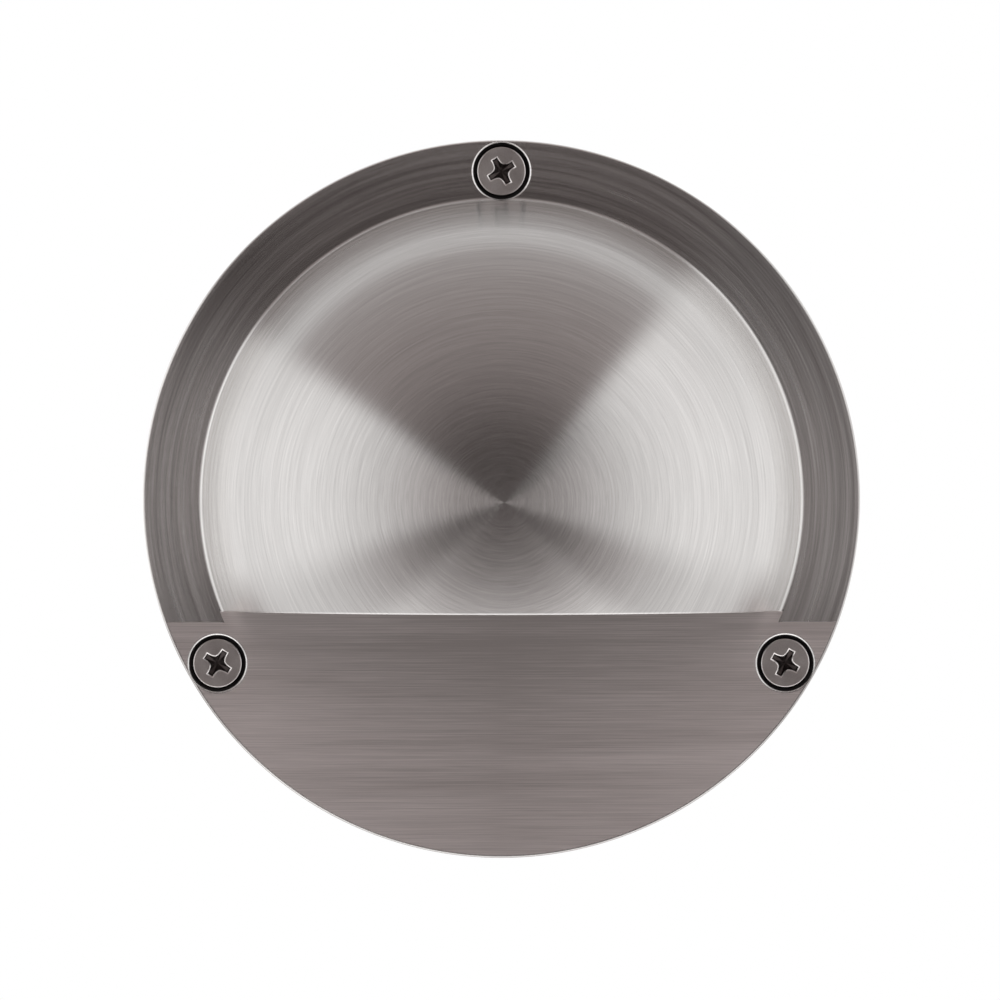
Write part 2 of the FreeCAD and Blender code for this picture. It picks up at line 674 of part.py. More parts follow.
def lamp_body():
    """Cast housing: lens pocket and light cavity in front, upright cooling fins and mounting posts behind."""
    body = new_part("lamp_body")
    turned(body, "casting", [
        ("0", CAVITY_FLOOR),
        (CAVITY_RADIUS, CAVITY_FLOOR),
        (CAVITY_RADIUS, LENS_LEDGE),
        (POCKET_RADIUS, LENS_LEDGE),
        (POCKET_RADIUS, RIM),
        (ENGINE_RADIUS, RIM),
        (ENGINE_RADIUS, SEAT),
        (ENGINE_REAR, SEAT),
        (ENGINE_REAR, FIN_TOP),
        ("0", FIN_TOP),
    ])

    row = f"({FIN_PITCH} * (Sizes.fin_slot_count - 1))"
    left = f"(-{row} / 2 - Sizes.fin_gap / 2)"
    slot = new_sketch(body, "fin_slot_outline", "XY_Plane", "0")
    rectangle(slot, left, f"{left} + Sizes.fin_gap", FLOOR_BACK, f"{FIN_TOP} + Sizes.fin_thickness")
    first_slot = pocket(body, slot, "fin_slot", f"2 * {ENGINE_RADIUS}", both_ways=True)
    along(body, "fin_slots", [first_slot], "X_Axis", row, "Sizes.fin_slot_count")

    posts = wall_sketch(body, "rear_post_outline", FLOOR_BACK)
    threads = wall_sketch(body, "rear_thread_outline", FIN_TOP)
    for x in DRIVER_SCREW_X:
        circle(posts, x, "0", "Sizes.driver_post_diameter / 2")
        circle(threads, x, "0", "Sizes.driver_screw_diameter / 2")
    circle(posts, "Sizes.earth_side_offset", "Sizes.earth_low_offset", "Sizes.earth_post_diameter / 2")
    circle(threads, "Sizes.earth_side_offset", "Sizes.earth_low_offset", "Sizes.earth_screw_diameter / 2")
    padded(body, posts, "rear_posts", "Sizes.fin_height")
    pocket(body, threads, "rear_threads", "Sizes.thread_depth", rearward=False)

    engine_hole = wall_sketch(body, "engine_hole_outline", RIM)
    circle(engine_hole, "0", ENGINE_SCREW_Z,
           "Sizes.engine_screw_diameter / 2 + Sizes.screw_hole_clearance / 2")
    around(body, "engine_holes", [pocket(body, engine_hole, "engine_hole", "Sizes.rim_depth")],
           "Sizes.engine_screw_count")
    board_threads = wall_sketch(body, "board_thread_outline", CAVITY_FLOOR)
    for x, z in BOARD_SCREWS:
        circle(board_threads, x, z, "Sizes.board_screw_diameter / 2")
    pocket(body, board_threads, "board_threads",
           "Sizes.board_screw_length - Sizes.board_thickness - Sizes.pad_thickness + Sizes.tip_clearance")
    lead_hole = wall_sketch(body, "lead_hole_outline", CAVITY_FLOOR)
    circle(lead_hole, LAMP_LEAD_X, LAMP_LEAD_Z, GROMMET_RADIUS)
    pocket(body, lead_hole, "lead_hole", "Sizes.floor_thickness")


def lens_bezel():
    """Flat clamping ring over the lens, with countersunk holes for the engine's screws."""
    body = new_part("lens_bezel")
    turned(body, "bezel_ring", ring_corners(BEZEL_BORE, ENGINE_RADIUS, BEZEL_FRONT, RIM))
    hole = sunk_holes(body, "bezel_hole", BEZEL_FRONT, "0", ENGINE_SCREW_Z,
                      "(Sizes.engine_screw_diameter + Sizes.screw_hole_clearance)",
                      "Sizes.engine_head_diameter")
    around(body, "bezel_holes", [hole], "Sizes.engine_screw_count")


def engine_screws():
    """Long screws that clamp bezel, lens and casting down on the canister's ledge."""
    body = new_part("engine_screws")
    screw = flat_screw(body, "engine_screw", BEZEL_FRONT, ENGINE_TIP,
                       "Sizes.engine_screw_diameter", "Sizes.engine_head_diameter", z=ENGINE_SCREW_Z)
    around(body, "all_engine_screws", [screw], "Sizes.engine_screw_count")


def lens():
    """Frosted glass disc and the rubber ring that it is pressed on."""
    body = new_part("lens_seal")
    turned(body, "lens_seal_ring", ring_corners(
        BEZEL_BORE, f"{GLASS_RADIUS} + Sizes.glass_clearance / 2", GLASS_BACK, LENS_LEDGE))
    body = new_part("lens_glass")
    disc = wall_sketch(body, "lens_outline", RIM)
    circle(disc, "0", "0", GLASS_RADIUS)
    padded(body, disc, "lens_disc", "Sizes.glass_thickness")


def light_board():
    """Square board with its thermal pad, screws, light chips and lead connector."""
    for label, half, front, thickness in (
        ("thermal_pad", f"({BOARD_HALF} - Sizes.pad_inset)", PAD_FRONT, "Sizes.pad_thickness"),
        ("light_board", BOARD_HALF, BOARD_FRONT, "Sizes.board_thickness"),
    ):
        body = new_part(label)
        square = wall_sketch(body, f"{label}_outline", front)
        rectangle(square, f"-{half}", half, f"-{half}", half)
        padded(body, square, f"{label}_sheet", thickness)
    holes = wall_sketch(body, "board_hole_outline", BOARD_FRONT)
    for x, z in BOARD_SCREWS:
        circle(holes, x, z, "Sizes.board_screw_diameter / 2 + Sizes.screw_hole_clearance / 2")
    pocket(body, holes, "board_holes")

    body = new_part("board_screws")
    x, z = BOARD_SCREWS[0]
    screw = pan_screw(body, "board_screw", BOARD_FRONT, "Sizes.board_screw_length",
                      "Sizes.board_screw_diameter", 1, x, z)
    around(body, "both_board_screws", [screw], "2")

    body = new_part("light_chips")
    half = "Sizes.chip_size / 2"
    middle = wall_sketch(body, "middle_chip_outline", BOARD_FRONT)
    rectangle(middle, f"-{half}", half, f"-{half}", half)
    padded(body, middle, "middle_chip", "Sizes.chip_height", rearward=False)
    chip = wall_sketch(body, "ring_chip_outline", BOARD_FRONT)
    rectangle(chip, f"Sizes.chip_circle / 2 - {half}", f"Sizes.chip_circle / 2 + {half}", f"-{half}", half)
    first = padded(body, chip, "ring_chip", "Sizes.chip_height", rearward=False)
    around(body, "ring_chips", [first], "Sizes.chip_count")

    body = new_part("board_connector")
    block = wall_sketch(body, "connector_outline", BOARD_FRONT)
    rectangle(block, f"{LAMP_LEAD_X} - Sizes.connector_width / 2",
              f"{LAMP_LEAD_X} + Sizes.connector_width / 2",
              f"{BOARD_HALF} - Sizes.connector_length", BOARD_HALF)
    padded(body, block, "connector_block", "Sizes.connector_height", rearward=False)


def lead_grommet():
    """Rubber grommet in the casting's floor, with its lip at the rear."""
    body = new_part("lead_grommet")
    lip = f"({GROMMET_RADIUS} + Sizes.grommet_flange)"
    turned(body, "grommet_ring", [
        (GROMMET_BORE, CAVITY_FLOOR),
        (GROMMET_RADIUS, CAVITY_FLOOR),
        (GROMMET_RADIUS, FLOOR_BACK),
        (lip, FLOOR_BACK),
        (lip, f"{FLOOR_BACK} + Sizes.grommet_flange_thickness"),
        (GROMMET_BORE, f"{FLOOR_BACK} + Sizes.grommet_flange_thickness"),
    ], LAMP_LEAD_X, LAMP_LEAD_Z)


def driver_case():
    """Open box with a screw ear at each end, rails for its board and slots for its leads."""
    body = new_part("driver_case")
    reach = f"({HALF_LENGTH} + Sizes.ear_length)"
    solids = (
        ("case_block", FIN_TOP, HALF_LENGTH, HALF_HEIGHT, "Sizes.driver_case_depth"),
        ("case_ears", FIN_TOP, reach, "Sizes.ear_height / 2", "Sizes.ear_thickness"),
    )
    for name, station, half_length, half_height, depth in solids:
        sketch = wall_sketch(body, f"{name}_outline", station)
        rectangle(sketch, f"-{half_length}", half_length, f"-{half_height}", half_height)
        padded(body, sketch, name, depth)
    base = f"({FIN_TOP} + Sizes.driver_base)"
    inside_x = f"({HALF_LENGTH} - Sizes.driver_wall)"
    inside_z = f"({HALF_HEIGHT} - Sizes.driver_wall)"
    inside = wall_sketch(body, "inside_outline", base)
    rectangle(inside, f"-{inside_x}", inside_x, f"-{inside_z}", inside_z)
    pocket(body, inside, "case_inside")
    rails = wall_sketch(body, "rail_outline", base)
    rectangle(rails, f"-{inside_x}", f"-{inside_x} + Sizes.driver_rail_width", f"-{inside_z}", inside_z)
    rectangle(rails, f"{inside_x} - Sizes.driver_rail_width", inside_x, f"-{inside_z}", inside_z)
    padded(body, rails, "board_rails", "Sizes.driver_board_lift")
    ear_holes = wall_sketch(body, "ear_hole_outline", FIN_TOP)
    for x in DRIVER_SCREW_X:
        circle(ear_holes, x, "0", "Sizes.driver_screw_diameter / 2 + Sizes.screw_hole_clearance / 2")
    pocket(body, ear_holes, "ear_holes", "Sizes.ear_thickness")

    mains_room = "(Sizes.mains_lead_diameter / 2 + Sizes.lead_hole_clearance / 2)"
    mains = new_sketch(body, "mains_slot_outline", "YZ_Plane", inside_x)
    rectangle(mains, f"{LEAD_HOLE_Y} - {mains_room}", f"{LEAD_HOLE_Y} + {mains_room}",
              f"{MAINS_Z[0]} - {mains_room}", f"{MAINS_Z[1]} + {mains_room}")
    pocket(body, mains, "mains_slot", "Sizes.driver_wall", rearward=False)
    lamp_room = "(Sizes.lamp_lead_diameter / 2 + Sizes.lead_hole_clearance / 2)"
    lamp = new_sketch(body, "lamp_slot_outline", "XY_Plane", inside_z)
    rectangle(lamp, f"{LAMP_X[0]} - {lamp_room}", f"{LAMP_X[1]} + {lamp_room}",
              f"{LEAD_HOLE_Y} - {lamp_room}", f"{LEAD_HOLE_Y} + {lamp_room}")
    pocket(body, lamp, "lamp_slot", "Sizes.driver_wall", rearward=False)


def driver_inside():
    """Driver's lid, its board, what stands on the board, and the screws through the ears."""
    body = new_part("driver_lid")
    inset = "(Sizes.driver_wall + Sizes.fit_clearance)"
    for name, less, depth, rearward in (
        ("lid_plate", "0", "Sizes.driver_lid_thickness", True),
        ("lid_lip", inset, "Sizes.driver_lip", False),
    ):
        sketch = wall_sketch(body, f"{name}_outline", CASE_BACK)
        rectangle(sketch, f"-{HALF_LENGTH} + {less}", f"{HALF_LENGTH} - {less}",
                  f"-{HALF_HEIGHT} + {less}", f"{HALF_HEIGHT} - {less}")
        padded(body, sketch, name, depth, rearward)

    body = new_part("driver_board")
    board = wall_sketch(body, "driver_board_outline", DRIVER_BOARD_FRONT)
    room = "(Sizes.driver_wall + Sizes.driver_board_clearance / 2)"
    rectangle(board, f"-{HALF_LENGTH} + {room}", f"{HALF_LENGTH} - {room}",
              f"-{HALF_HEIGHT} + {room}", f"{HALF_HEIGHT} - {room}")
    padded(body, board, "driver_board_sheet", "Sizes.driver_board_thickness")

    body = new_part("driver_parts")
    tall = f"({CASE_BACK} - Sizes.driver_lip - Sizes.tall_part_gap - {DRIVER_BOARD_BACK})"
    half = "Sizes.transformer_side / 2"
    tall_parts = wall_sketch(body, "tall_part_outline", DRIVER_BOARD_BACK)
    rectangle(tall_parts, f"Sizes.transformer_offset - {half}", f"Sizes.transformer_offset + {half}",
              f"-{half}", half)
    circle(tall_parts, "Sizes.capacitor_side_offset", "Sizes.capacitor_low_offset",
           "Sizes.capacitor_diameter / 2")
    padded(body, tall_parts, "tall_parts", tall)
    half = "Sizes.lead_block_length / 2"
    lead_blocks = wall_sketch(body, "lead_block_outline", DRIVER_BOARD_BACK)
    rectangle(lead_blocks, f"{MAINS_END} - Sizes.lead_block_length", MAINS_END,
              f"{MAINS_Z[0]} - Sizes.mains_lead_diameter", f"{MAINS_Z[1]} + Sizes.mains_lead_diameter")
    rectangle(lead_blocks, f"{LAMP_LEAD_X} - {half}", f"{LAMP_LEAD_X} + {half}",
              f"{LAMP_END} - Sizes.lead_block_length", LAMP_END)
    padded(body, lead_blocks, "lead_blocks", "Sizes.lead_block_height")

    body = new_part("driver_screws")
    screw = pan_screw(body, "driver_screw", f"({FIN_TOP} + Sizes.ear_thickness)",
                      "Sizes.driver_screw_length", "Sizes.driver_screw_diameter", -1, x=DRIVER_SCREW_X[0])
    along(body, "both_driver_screws", [screw], "X_Axis", "2 * Sizes.driver_screw_offset", "2")


def terminals():
    """Three pole terminal block with its brass cages, clamping screws and fixing screws."""
    body = new_part("terminal_block")
    half_length = "Sizes.terminal_length / 2"
    half_cage = "Sizes.cage_side / 2"
    block = wall_sketch(body, "terminal_outline", TERMINAL_FRONT)
    rectangle(block, f"Sizes.terminal_offset - {half_length}", f"Sizes.terminal_offset + {half_length}",
              f"-{BLOCK_HALF}", BLOCK_HALF)
    padded(body, block, "terminal_body", "Sizes.terminal_depth")
    channels = new_sketch(body, "channel_outline", "YZ_Plane", f"Sizes.terminal_offset - {half_length}")
    screw_holes = wall_sketch(body, "clamp_hole_outline", TERMINAL_FRONT)
    for z in POLES:
        rectangle(channels, f"{TERMINAL_AXIS} - {half_cage}", f"{TERMINAL_AXIS} + {half_cage}",
                  f"{z} - {half_cage}", f"{z} + {half_cage}")
        circle(screw_holes, "Sizes.terminal_offset", z,
               "Sizes.terminal_screw_diameter / 2 + Sizes.fit_clearance")
    pocket(body, channels, "channels", "Sizes.terminal_length", rearward=False)
    pocket(body, screw_holes, "clamp_holes", "Sizes.terminal_axis_depth")
    sinks = wall_sketch(body, "fixing_sink_outline", TERMINAL_FRONT)
    holes = wall_sketch(body, "fixing_hole_outline", TERMINAL_FRONT)
    for z in FIXING_Z:
        circle(sinks, "Sizes.terminal_offset", z,
               "Sizes.pan_head_radius_ratio * Sizes.fixing_diameter + Sizes.fit_clearance")
        circle(holes, "Sizes.terminal_offset", z, "Sizes.fixing_diameter / 2 + Sizes.fit_clearance")
    pocket(body, sinks, "fixing_sinks", "Sizes.fixing_sink")
    pocket(body, holes, "fixing_holes")

    body = new_part("terminal_cages")
    cages = new_sketch(body, "cage_outline", "YZ_Plane", "Sizes.terminal_offset - Sizes.cage_length / 2")
    threads = wall_sketch(body, "cage_thread_outline", TERMINAL_FRONT)
    for z in POLES:
        for side in ("Sizes.cage_side / 2", "Sizes.cage_opening / 2"):
            rectangle(cages, f"{TERMINAL_AXIS} - {side}", f"{TERMINAL_AXIS} + {side}",
                      f"{z} - {side}", f"{z} + {side}")
        circle(threads, "Sizes.terminal_offset", z, "Sizes.terminal_screw_diameter / 2")
    padded(body, cages, "cages", "Sizes.cage_length", rearward=False)
    pocket(body, threads, "cage_threads", "Sizes.terminal_axis_depth")

    body = new_part("terminal_screws")
    stub_front = f"({TERMINAL_FRONT} + Sizes.terminal_screw_sink)"
    stubs = wall_sketch(body, "stub_outline", stub_front)
    for z in POLES:
        circle(stubs, "Sizes.terminal_offset", z, "Sizes.terminal_screw_diameter / 2")
    padded(body, stubs, "stubs", f"{POLE_SEAT} - Sizes.mains_lead_diameter / 2 - {stub_front}")

    body = new_part("terminal_fixings")
    screw = pan_screw(body, "fixing_screw", f"({TERMINAL_FRONT} + Sizes.fixing_sink)",
                      "Sizes.fixing_length", "Sizes.fixing_diameter", 1, "Sizes.terminal_offset", FIXING_Z[0])
    along(body, "both_fixings", [screw], "Z_Axis", "Sizes.terminal_pitch", "2")


def earth_point():
    """Ring lug with a box crimp, and its screw, on the casting's earth post."""
    body = new_part("earth_lug")
    ring = wall_sketch(body, "lug_outline", FIN_TOP)
    circle(ring, "Sizes.earth_side_offset", "Sizes.earth_low_offset", "Sizes.lug_diameter / 2")
    padded(body, ring, "lug_ring", "Sizes.lug_thickness")
    hole = wall_sketch(body, "lug_hole_outline", FIN_TOP)
    circle(hole, "Sizes.earth_side_offset", "Sizes.earth_low_offset",
           "Sizes.earth_screw_diameter / 2 + Sizes.fit_clearance")
    pocket(body, hole, "lug_hole")
    crimp = new_sketch(body, "crimp_outline", "YZ_Plane", LUG_NEAR)
    bore = "(Sizes.mains_lead_diameter / 2)"
    for side in (f"({bore} + Sizes.lug_barrel_wall)", bore):
        rectangle(crimp, f"{LUG_AXIS} - {side}", f"{LUG_AXIS} + {side}",
                  f"Sizes.earth_low_offset - {side}", f"Sizes.earth_low_offset + {side}")
    padded(body, crimp, "lug_crimp", "Sizes.lug_barrel_length", rearward=False)

    body = new_part("earth_screw")
    pan_screw(body, "earth_screw_solid", f"({FIN_TOP} + Sizes.lug_thickness)", "Sizes.earth_screw_length",
              "Sizes.earth_screw_diameter", -1, "Sizes.earth_side_offset", "Sizes.earth_low_offset")


def lead(points, diameter):
    """Solid many-sided lead along straight runs that tangent arcs join; an edge faces the clamp screw."""
    places = [V(*(size(value) for value in point)) for point in points]
    edges = []
    here = places[0]
    for before, corner, after in zip(places, places[1:], places[2:]):
        inward = (corner - before).normalize()
        outward = (after - corner).normalize()
        turn = inward.getAngle(outward)
        reach = BEND_SHARE * min((corner - before).Length, (after - corner).Length)
        radius = reach / math.tan(turn / 2)
        start = corner - inward * reach
        end = corner + outward * reach
        middle = corner + (outward - inward).normalize() * (radius / math.cos(turn / 2) - radius)
        edges.append(Part.LineSegment(here, start).toShape())
        edges.append(Part.Arc(start, middle, end).toShape())
        here = end
    edges.append(Part.LineSegment(here, places[-1]).toShape())
    along_run = (places[1] - places[0]).normalize()
    sides = int(size("Sizes.lead_side_count"))
    level = V(1, 0, 0) if abs(along_run.x) < 0.5 else V(0, 0, 1)
    spoke = along_run.cross(level).normalize() * (size(diameter) / 2)
    section = []
    for side in range(sides + 1):
        turned_spoke = FreeCAD.Rotation(along_run, 360 * (side % sides) / sides).multVec(spoke)
        section.append(places[0] + turned_spoke)
    return Part.Wire(edges).makePipeShell([Part.makePolygon(section)], True, False)


def leads():
    """Leads that run all the way inside the canister, each along its real route."""
    room = f"((Sizes.terminal_offset + Sizes.terminal_length / 2 + {CANISTER_INSIDE}) / 2)"
    side = f"({room} - Sizes.mains_lead_diameter / 2)"
    turn_y = f"({BOARD_FRONT} - Sizes.connector_height / 2)"
    routes = (
        ("lamp_leads", "Sizes.lamp_lead_diameter", [
            [
                (x, LEAD_HOLE_Y, LAMP_END),
                (x, LEAD_HOLE_Y, LAMP_LEAD_Z),
                (x, turn_y, LAMP_LEAD_Z),
                (x, turn_y, BOARD_HALF),
            ]
            for x in LAMP_X
        ]),
        ("mains_leads", "Sizes.mains_lead_diameter", [
            [
                (POLE_ENTRY, POLE_SEAT, z),
                (side, POLE_SEAT, z),
                (side, LEAD_HOLE_Y, z),
                (MAINS_END, LEAD_HOLE_Y, z),
            ]
            for z in MAINS_Z
        ]),
        ("earth_lead", "Sizes.mains_lead_diameter", [
            [
                (POLE_ENTRY, POLE_SEAT, POLES[0]),
                (side, POLE_SEAT, POLES[0]),
                (side, f"({POLE_SEAT} + {LUG_AXIS}) / 2", f"({POLES[0]} + Sizes.earth_low_offset) / 2"),
                (f"{LUG_NEAR} + Sizes.lug_barrel_length + Sizes.lug_lead_length", LUG_AXIS,
                 "Sizes.earth_low_offset"),
                (LUG_NEAR, LUG_AXIS, "Sizes.earth_low_offset"),
            ]
        ]),
    )
    for label, diameter, runs in routes:
        feature = doc.addObject("Part::Feature", label)
        feature.Label = label
        feature.Shape = Part.makeCompound([lead(points, diameter) for points in runs])
        feature.Placement = FreeCAD.Placement()
        parts.append(feature)


def gland():
    """Cable gland in the rear wall: washer, body, locknut, sealing sleeve and cap nut."""
    z = "Sizes.entry_offset"
    rear = "Sizes.canister_depth"
    hex_front = f"({rear} + Sizes.gland_washer_thickness)"
    hex_back = f"({hex_front} + Sizes.gland_hex_length)"
    neck_end = f"({hex_back} + Sizes.gland_neck_length)"
    seal_end = f"({neck_end} + Sizes.seal_proud)"
    seal_start = f"({seal_end} - Sizes.seal_length)"
    thread = "Sizes.gland_thread_diameter / 2"

    body = new_part("gland_washer")
    turned(body, "gland_washer_ring",
           ring_corners(ENTRY_RADIUS, "Sizes.gland_washer_diameter / 2", rear, hex_front), z=z)

    body = new_part("gland_body")
    turned(body, "gland_tube", [
        ("Sizes.gland_inlet / 2", f"{REAR_INSIDE} - Sizes.gland_spigot"),
        (thread, f"{REAR_INSIDE} - Sizes.gland_spigot"),
        (thread, neck_end),
        ("Sizes.seal_diameter / 2", neck_end),
        ("Sizes.seal_diameter / 2", seal_start),
        ("Sizes.gland_inlet / 2", seal_start),
    ], z=z)
    collar = wall_sketch(body, "gland_hex_outline", hex_front)
    hexagon(collar, "0", z, "Sizes.gland_hex")
    circle(collar, "0", z, thread)
    padded(body, collar, "gland_hex_collar", "Sizes.gland_hex_length")

    body = new_part("gland_locknut")
    nut = wall_sketch(body, "locknut_outline", f"{REAR_INSIDE} - Sizes.locknut_length")
    hexagon(nut, "0", z, "Sizes.gland_hex")
    circle(nut, "0", z, thread)
    padded(body, nut, "locknut_hex", "Sizes.locknut_length")

    body = new_part("gland_seal")
    turned(body, "seal_sleeve",
           ring_corners("Sizes.seal_bore / 2", "Sizes.seal_diameter / 2", seal_start, seal_end), z=z)

    body = new_part("gland_cap")
    cap_front = f"({hex_back} + Sizes.cap_gap)"
    cap_back = f"({seal_end} + Sizes.cap_end_thickness)"
    cap = wall_sketch(body, "cap_outline", cap_front)
    hexagon(cap, "0", z, "Sizes.cap_hex")
    padded(body, cap, "cap_hex_prism", f"{cap_back} - {cap_front}")
    turned(body, "cap_bore", [
        ("0", cap_front),
        (thread, cap_front),
        (thread, seal_end),
        ("Sizes.cap_hole / 2", seal_end),
        ("Sizes.cap_hole / 2", cap_back),
        ("0", cap_back),
    ], z=z, cut=True)


def blanking_plug():
    """Rubber bung in the spare entry: a groove grips the rear wall between two flanges."""
    body = new_part("blanking_plug")
    thick = "Sizes.bung_flange_thickness"
    turned(body, "bung", [
        ("0", f"{REAR_INSIDE} - {thick}"),
        (f"Sizes.bung_inner_diameter / 2 - {thick} / 2", f"{REAR_INSIDE} - {thick}"),
        ("Sizes.bung_inner_diameter / 2", REAR_INSIDE),
        (ENTRY_RADIUS, REAR_INSIDE),
        (ENTRY_RADIUS, "Sizes.canister_depth"),
        ("Sizes.bung_flange_diameter / 2", "Sizes.canister_depth"),
        ("Sizes.bung_flange_diameter / 2", f"Sizes.canister_depth + {thick}"),
        ("0", f"Sizes.canister_depth + {thick}"),
    ], z="-Sizes.entry_offset")


def write_parts():
    """STEP file of every sub-part, after a look at every object's state."""
    doc.recompute()
    for item in doc.Objects:
        if "Invalid" in item.State or "Error" in item.State:
            raise ValueError(f"{item.Label} did not build")
    for item in parts:
        if item.Shape.isNull() or not item.Shape.isValid() or not item.Shape.Solids:
            raise ValueError(f"{item.Label} has no sound solid")
    os.makedirs("parts", exist_ok=True)
    for item in parts:
        item.Shape.exportStep(f"parts/{item.Label}.step")
        print(item.Label, len(item.Shape.Solids), round(item.Shape.Volume, 1))


face_plate()
face_screws()
face_gasket()
thread_inserts()
canister()
seat_gasket()
lamp_body()
lens_bezel()
engine_screws()
lens()
light_board()
lead_grommet()
driver_case()
driver_inside()
terminals()
earth_point()
leads()
gland()
blanking_plug()
write_parts()
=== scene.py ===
"""Round step light of brushed steel on a pale studio floor."""
import json
import math

import bmesh
import bpy
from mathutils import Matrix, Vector
from mathutils.geometry import delaunay_2d_cdt


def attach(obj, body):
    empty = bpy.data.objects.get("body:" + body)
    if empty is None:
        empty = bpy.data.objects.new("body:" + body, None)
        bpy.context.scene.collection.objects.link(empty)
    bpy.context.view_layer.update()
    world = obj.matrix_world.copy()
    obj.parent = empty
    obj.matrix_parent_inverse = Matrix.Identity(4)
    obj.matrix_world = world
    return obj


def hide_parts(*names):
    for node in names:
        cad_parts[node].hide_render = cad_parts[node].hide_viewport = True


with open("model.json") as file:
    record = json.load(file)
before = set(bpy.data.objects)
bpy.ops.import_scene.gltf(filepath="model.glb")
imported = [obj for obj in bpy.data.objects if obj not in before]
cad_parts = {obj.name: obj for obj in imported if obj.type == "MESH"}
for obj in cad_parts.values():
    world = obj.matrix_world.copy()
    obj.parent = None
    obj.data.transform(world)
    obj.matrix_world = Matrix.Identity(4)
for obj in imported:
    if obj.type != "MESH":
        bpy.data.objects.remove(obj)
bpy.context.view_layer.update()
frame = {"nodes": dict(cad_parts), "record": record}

MM = 0.001
nodes = frame["nodes"]

# Face plate in millimetres, as in the part's source. Y runs from the viewer to the wall, Z is up.
PLATE_RADIUS = 55.0
PLATE_FRONT = -6.5
PLATE_BACK = -4.0
HOOD_RADIUS = 46.0
CROWN = 61.3  # radius of the hood's crown
SHOULDER_START = 38.0  # distance from the axis at which the shoulder starts
SHOULDER = 18.0  # radius of the shoulder
FLANK = math.radians(58.5)
ROOT_ROUND = 0.8
HOOD_WALL = 1.6
MOUTH = -17.2  # height of the hood's mouth
SCREW_CIRCLE = 50.25
SINK_RADIUS = 4.5
HOLE_RADIUS = 2.25

# Finer forms of the shown plate.
EDGE_ROUND = 0.4
LIP_ROUND = 0.3
LIP_SHARE = 0.45  # most of the wall's depth that one of the lip's two rounds takes
SEAM = -18.8  # height at which the round brushing gives way to the level brushing
SINK_ROUND = 0.14
SINK_WALL = 0.95  # depth of the steep wall under the sink's rim
SINK_TAPER = 0.06  # how far that wall leans in
SINK_DEPTH = 1.5  # depth to which the hood and the edge are pushed where they cross a sink
SINK_SNAP = 0.34  # points this close inside a sink's circle move onto it

# Face screws.
HEAD_TOP = -6.3
HEAD_SEAT = -5.75
HEAD_RADIUS = 3.75
HEAD_ROUND = 0.24
SHANK_RADIUS = 2.0
SCREW_LENGTH = 16.0
THREAD_PITCH = 0.7
THREAD_DEPTH = 0.38
THREAD_START = 0.6  # plain length under the head's cone
THREAD_END = 0.4  # plain length before the tip
TIP_TAPER = 0.35  # how far the tip draws in
SCREW_TURNS = {90: 30, 210: 58, 330: 62}  # angle of each screw's place: turn of its recess, in degrees
RECESS = (  # levels of the recess: inset of its outline, share of its size, depth
    (0.0, 1.0, 0.0), (0.04, 1.0, 0.02), (0.17, 1.0, 0.15),
    (0.20, 1.0, 0.80), (0.24, 0.94, 1.05), (0.24, 0.50, 1.45), (0.24, 0.0, 1.75),
)
# The recess's strips past these are painted dark as shade.
RECESS_BRIGHT = 2  # strips of the recess next to its mouth that are as bright as the head

# Fineness of the meshes.
ROUND_POINTS = 480  # round the plate
SMALL_POINTS = 96  # round a screw or a sink
CLOSE_STEP = 0.125  # degrees between the plate's points beside a screw
HOOD_SPREAD = 4  # degrees on each side of a screw with closer points, on the hood
EDGE_SPREAD = 6  # the same, on the disc's edge
CROWN_STEPS = 48
SHOULDER_STEPS = 20
FLANK_STEPS = 12
ROOT_STEPS = 10
EDGE_STEPS = 8
HEAD_STEPS = 6
ROUND_STEPS = 5  # over the lip's and the sinks' rounds
LIP_STRIPS = 240
CHORD_PIECES = 60

# Places in the face plate's list of materials; the last one holds the painted shade of the sinks' walls.
ROUND_STEEL, LEVEL_STEEL, PAINTED_SHADE_WALL = range(3)


# Meshes

def mesh_object(name, bm, replaced, materials):
    """Shown piece from a bmesh in millimetres; it stands for a node and rides on the body."""
    mesh = bpy.data.meshes.new(name)
    bmesh.ops.scale(bm, vec=(MM, MM, MM), verts=bm.verts)
    bm.to_mesh(mesh)
    bm.free()
    obj = bpy.data.objects.new(name, mesh)
    bpy.context.scene.collection.objects.link(obj)
    for material in materials:
        mesh.materials.append(material)
    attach(obj, "root")
    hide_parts(replaced)
    return obj


def add_grid(bm, rows, closed, material=0, smooth=True):
    """Faces between rows of points; a closed row joins its last point to its first."""
    made = [[bm.verts.new(point) for point in row] for row in rows]
    faces = []
    for low, high in zip(made, made[1:]):
        count = len(low) if closed else len(low) - 1
        for i in range(count):
            j = (i + 1) % len(low)
            corners = [low[i], low[j], high[j], high[i]]
            if (corners[0].co - corners[1].co).length < 1e-6:
                corners = corners[1:]
            elif (corners[3].co - corners[2].co).length < 1e-6:
                corners = corners[:3]
            face = bm.faces.new(corners)
            face.smooth = smooth
            face.material_index = material
            faces.append(face)
    return [vert for row in made for vert in row], faces


def circle(radius, angles, x=0.0, z=0.0):
    """Points (x, z) of a circle at the angles."""
    return [(x + radius * math.cos(a), z + radius * math.sin(a)) for a in angles]


def turned(bm, profile, angles, x=0.0, z=0.0, material=0):
    """Surface of revolution round a line along Y; the profile's points are (radius, y).

    It faces outwards where the profile runs towards the wall, and inwards where it runs back.
    """
    rows = [[(across, y, up) for across, up in circle(r, angles, x, z)] for r, y in profile]
    made = add_grid(bm, rows, True, material)
    bmesh.ops.reverse_faces(bm, faces=made[1])
    return made


def even_angles(count):
    """Even angles round a whole circle, in radians."""
    return [2 * math.pi * i / count for i in range(count)]


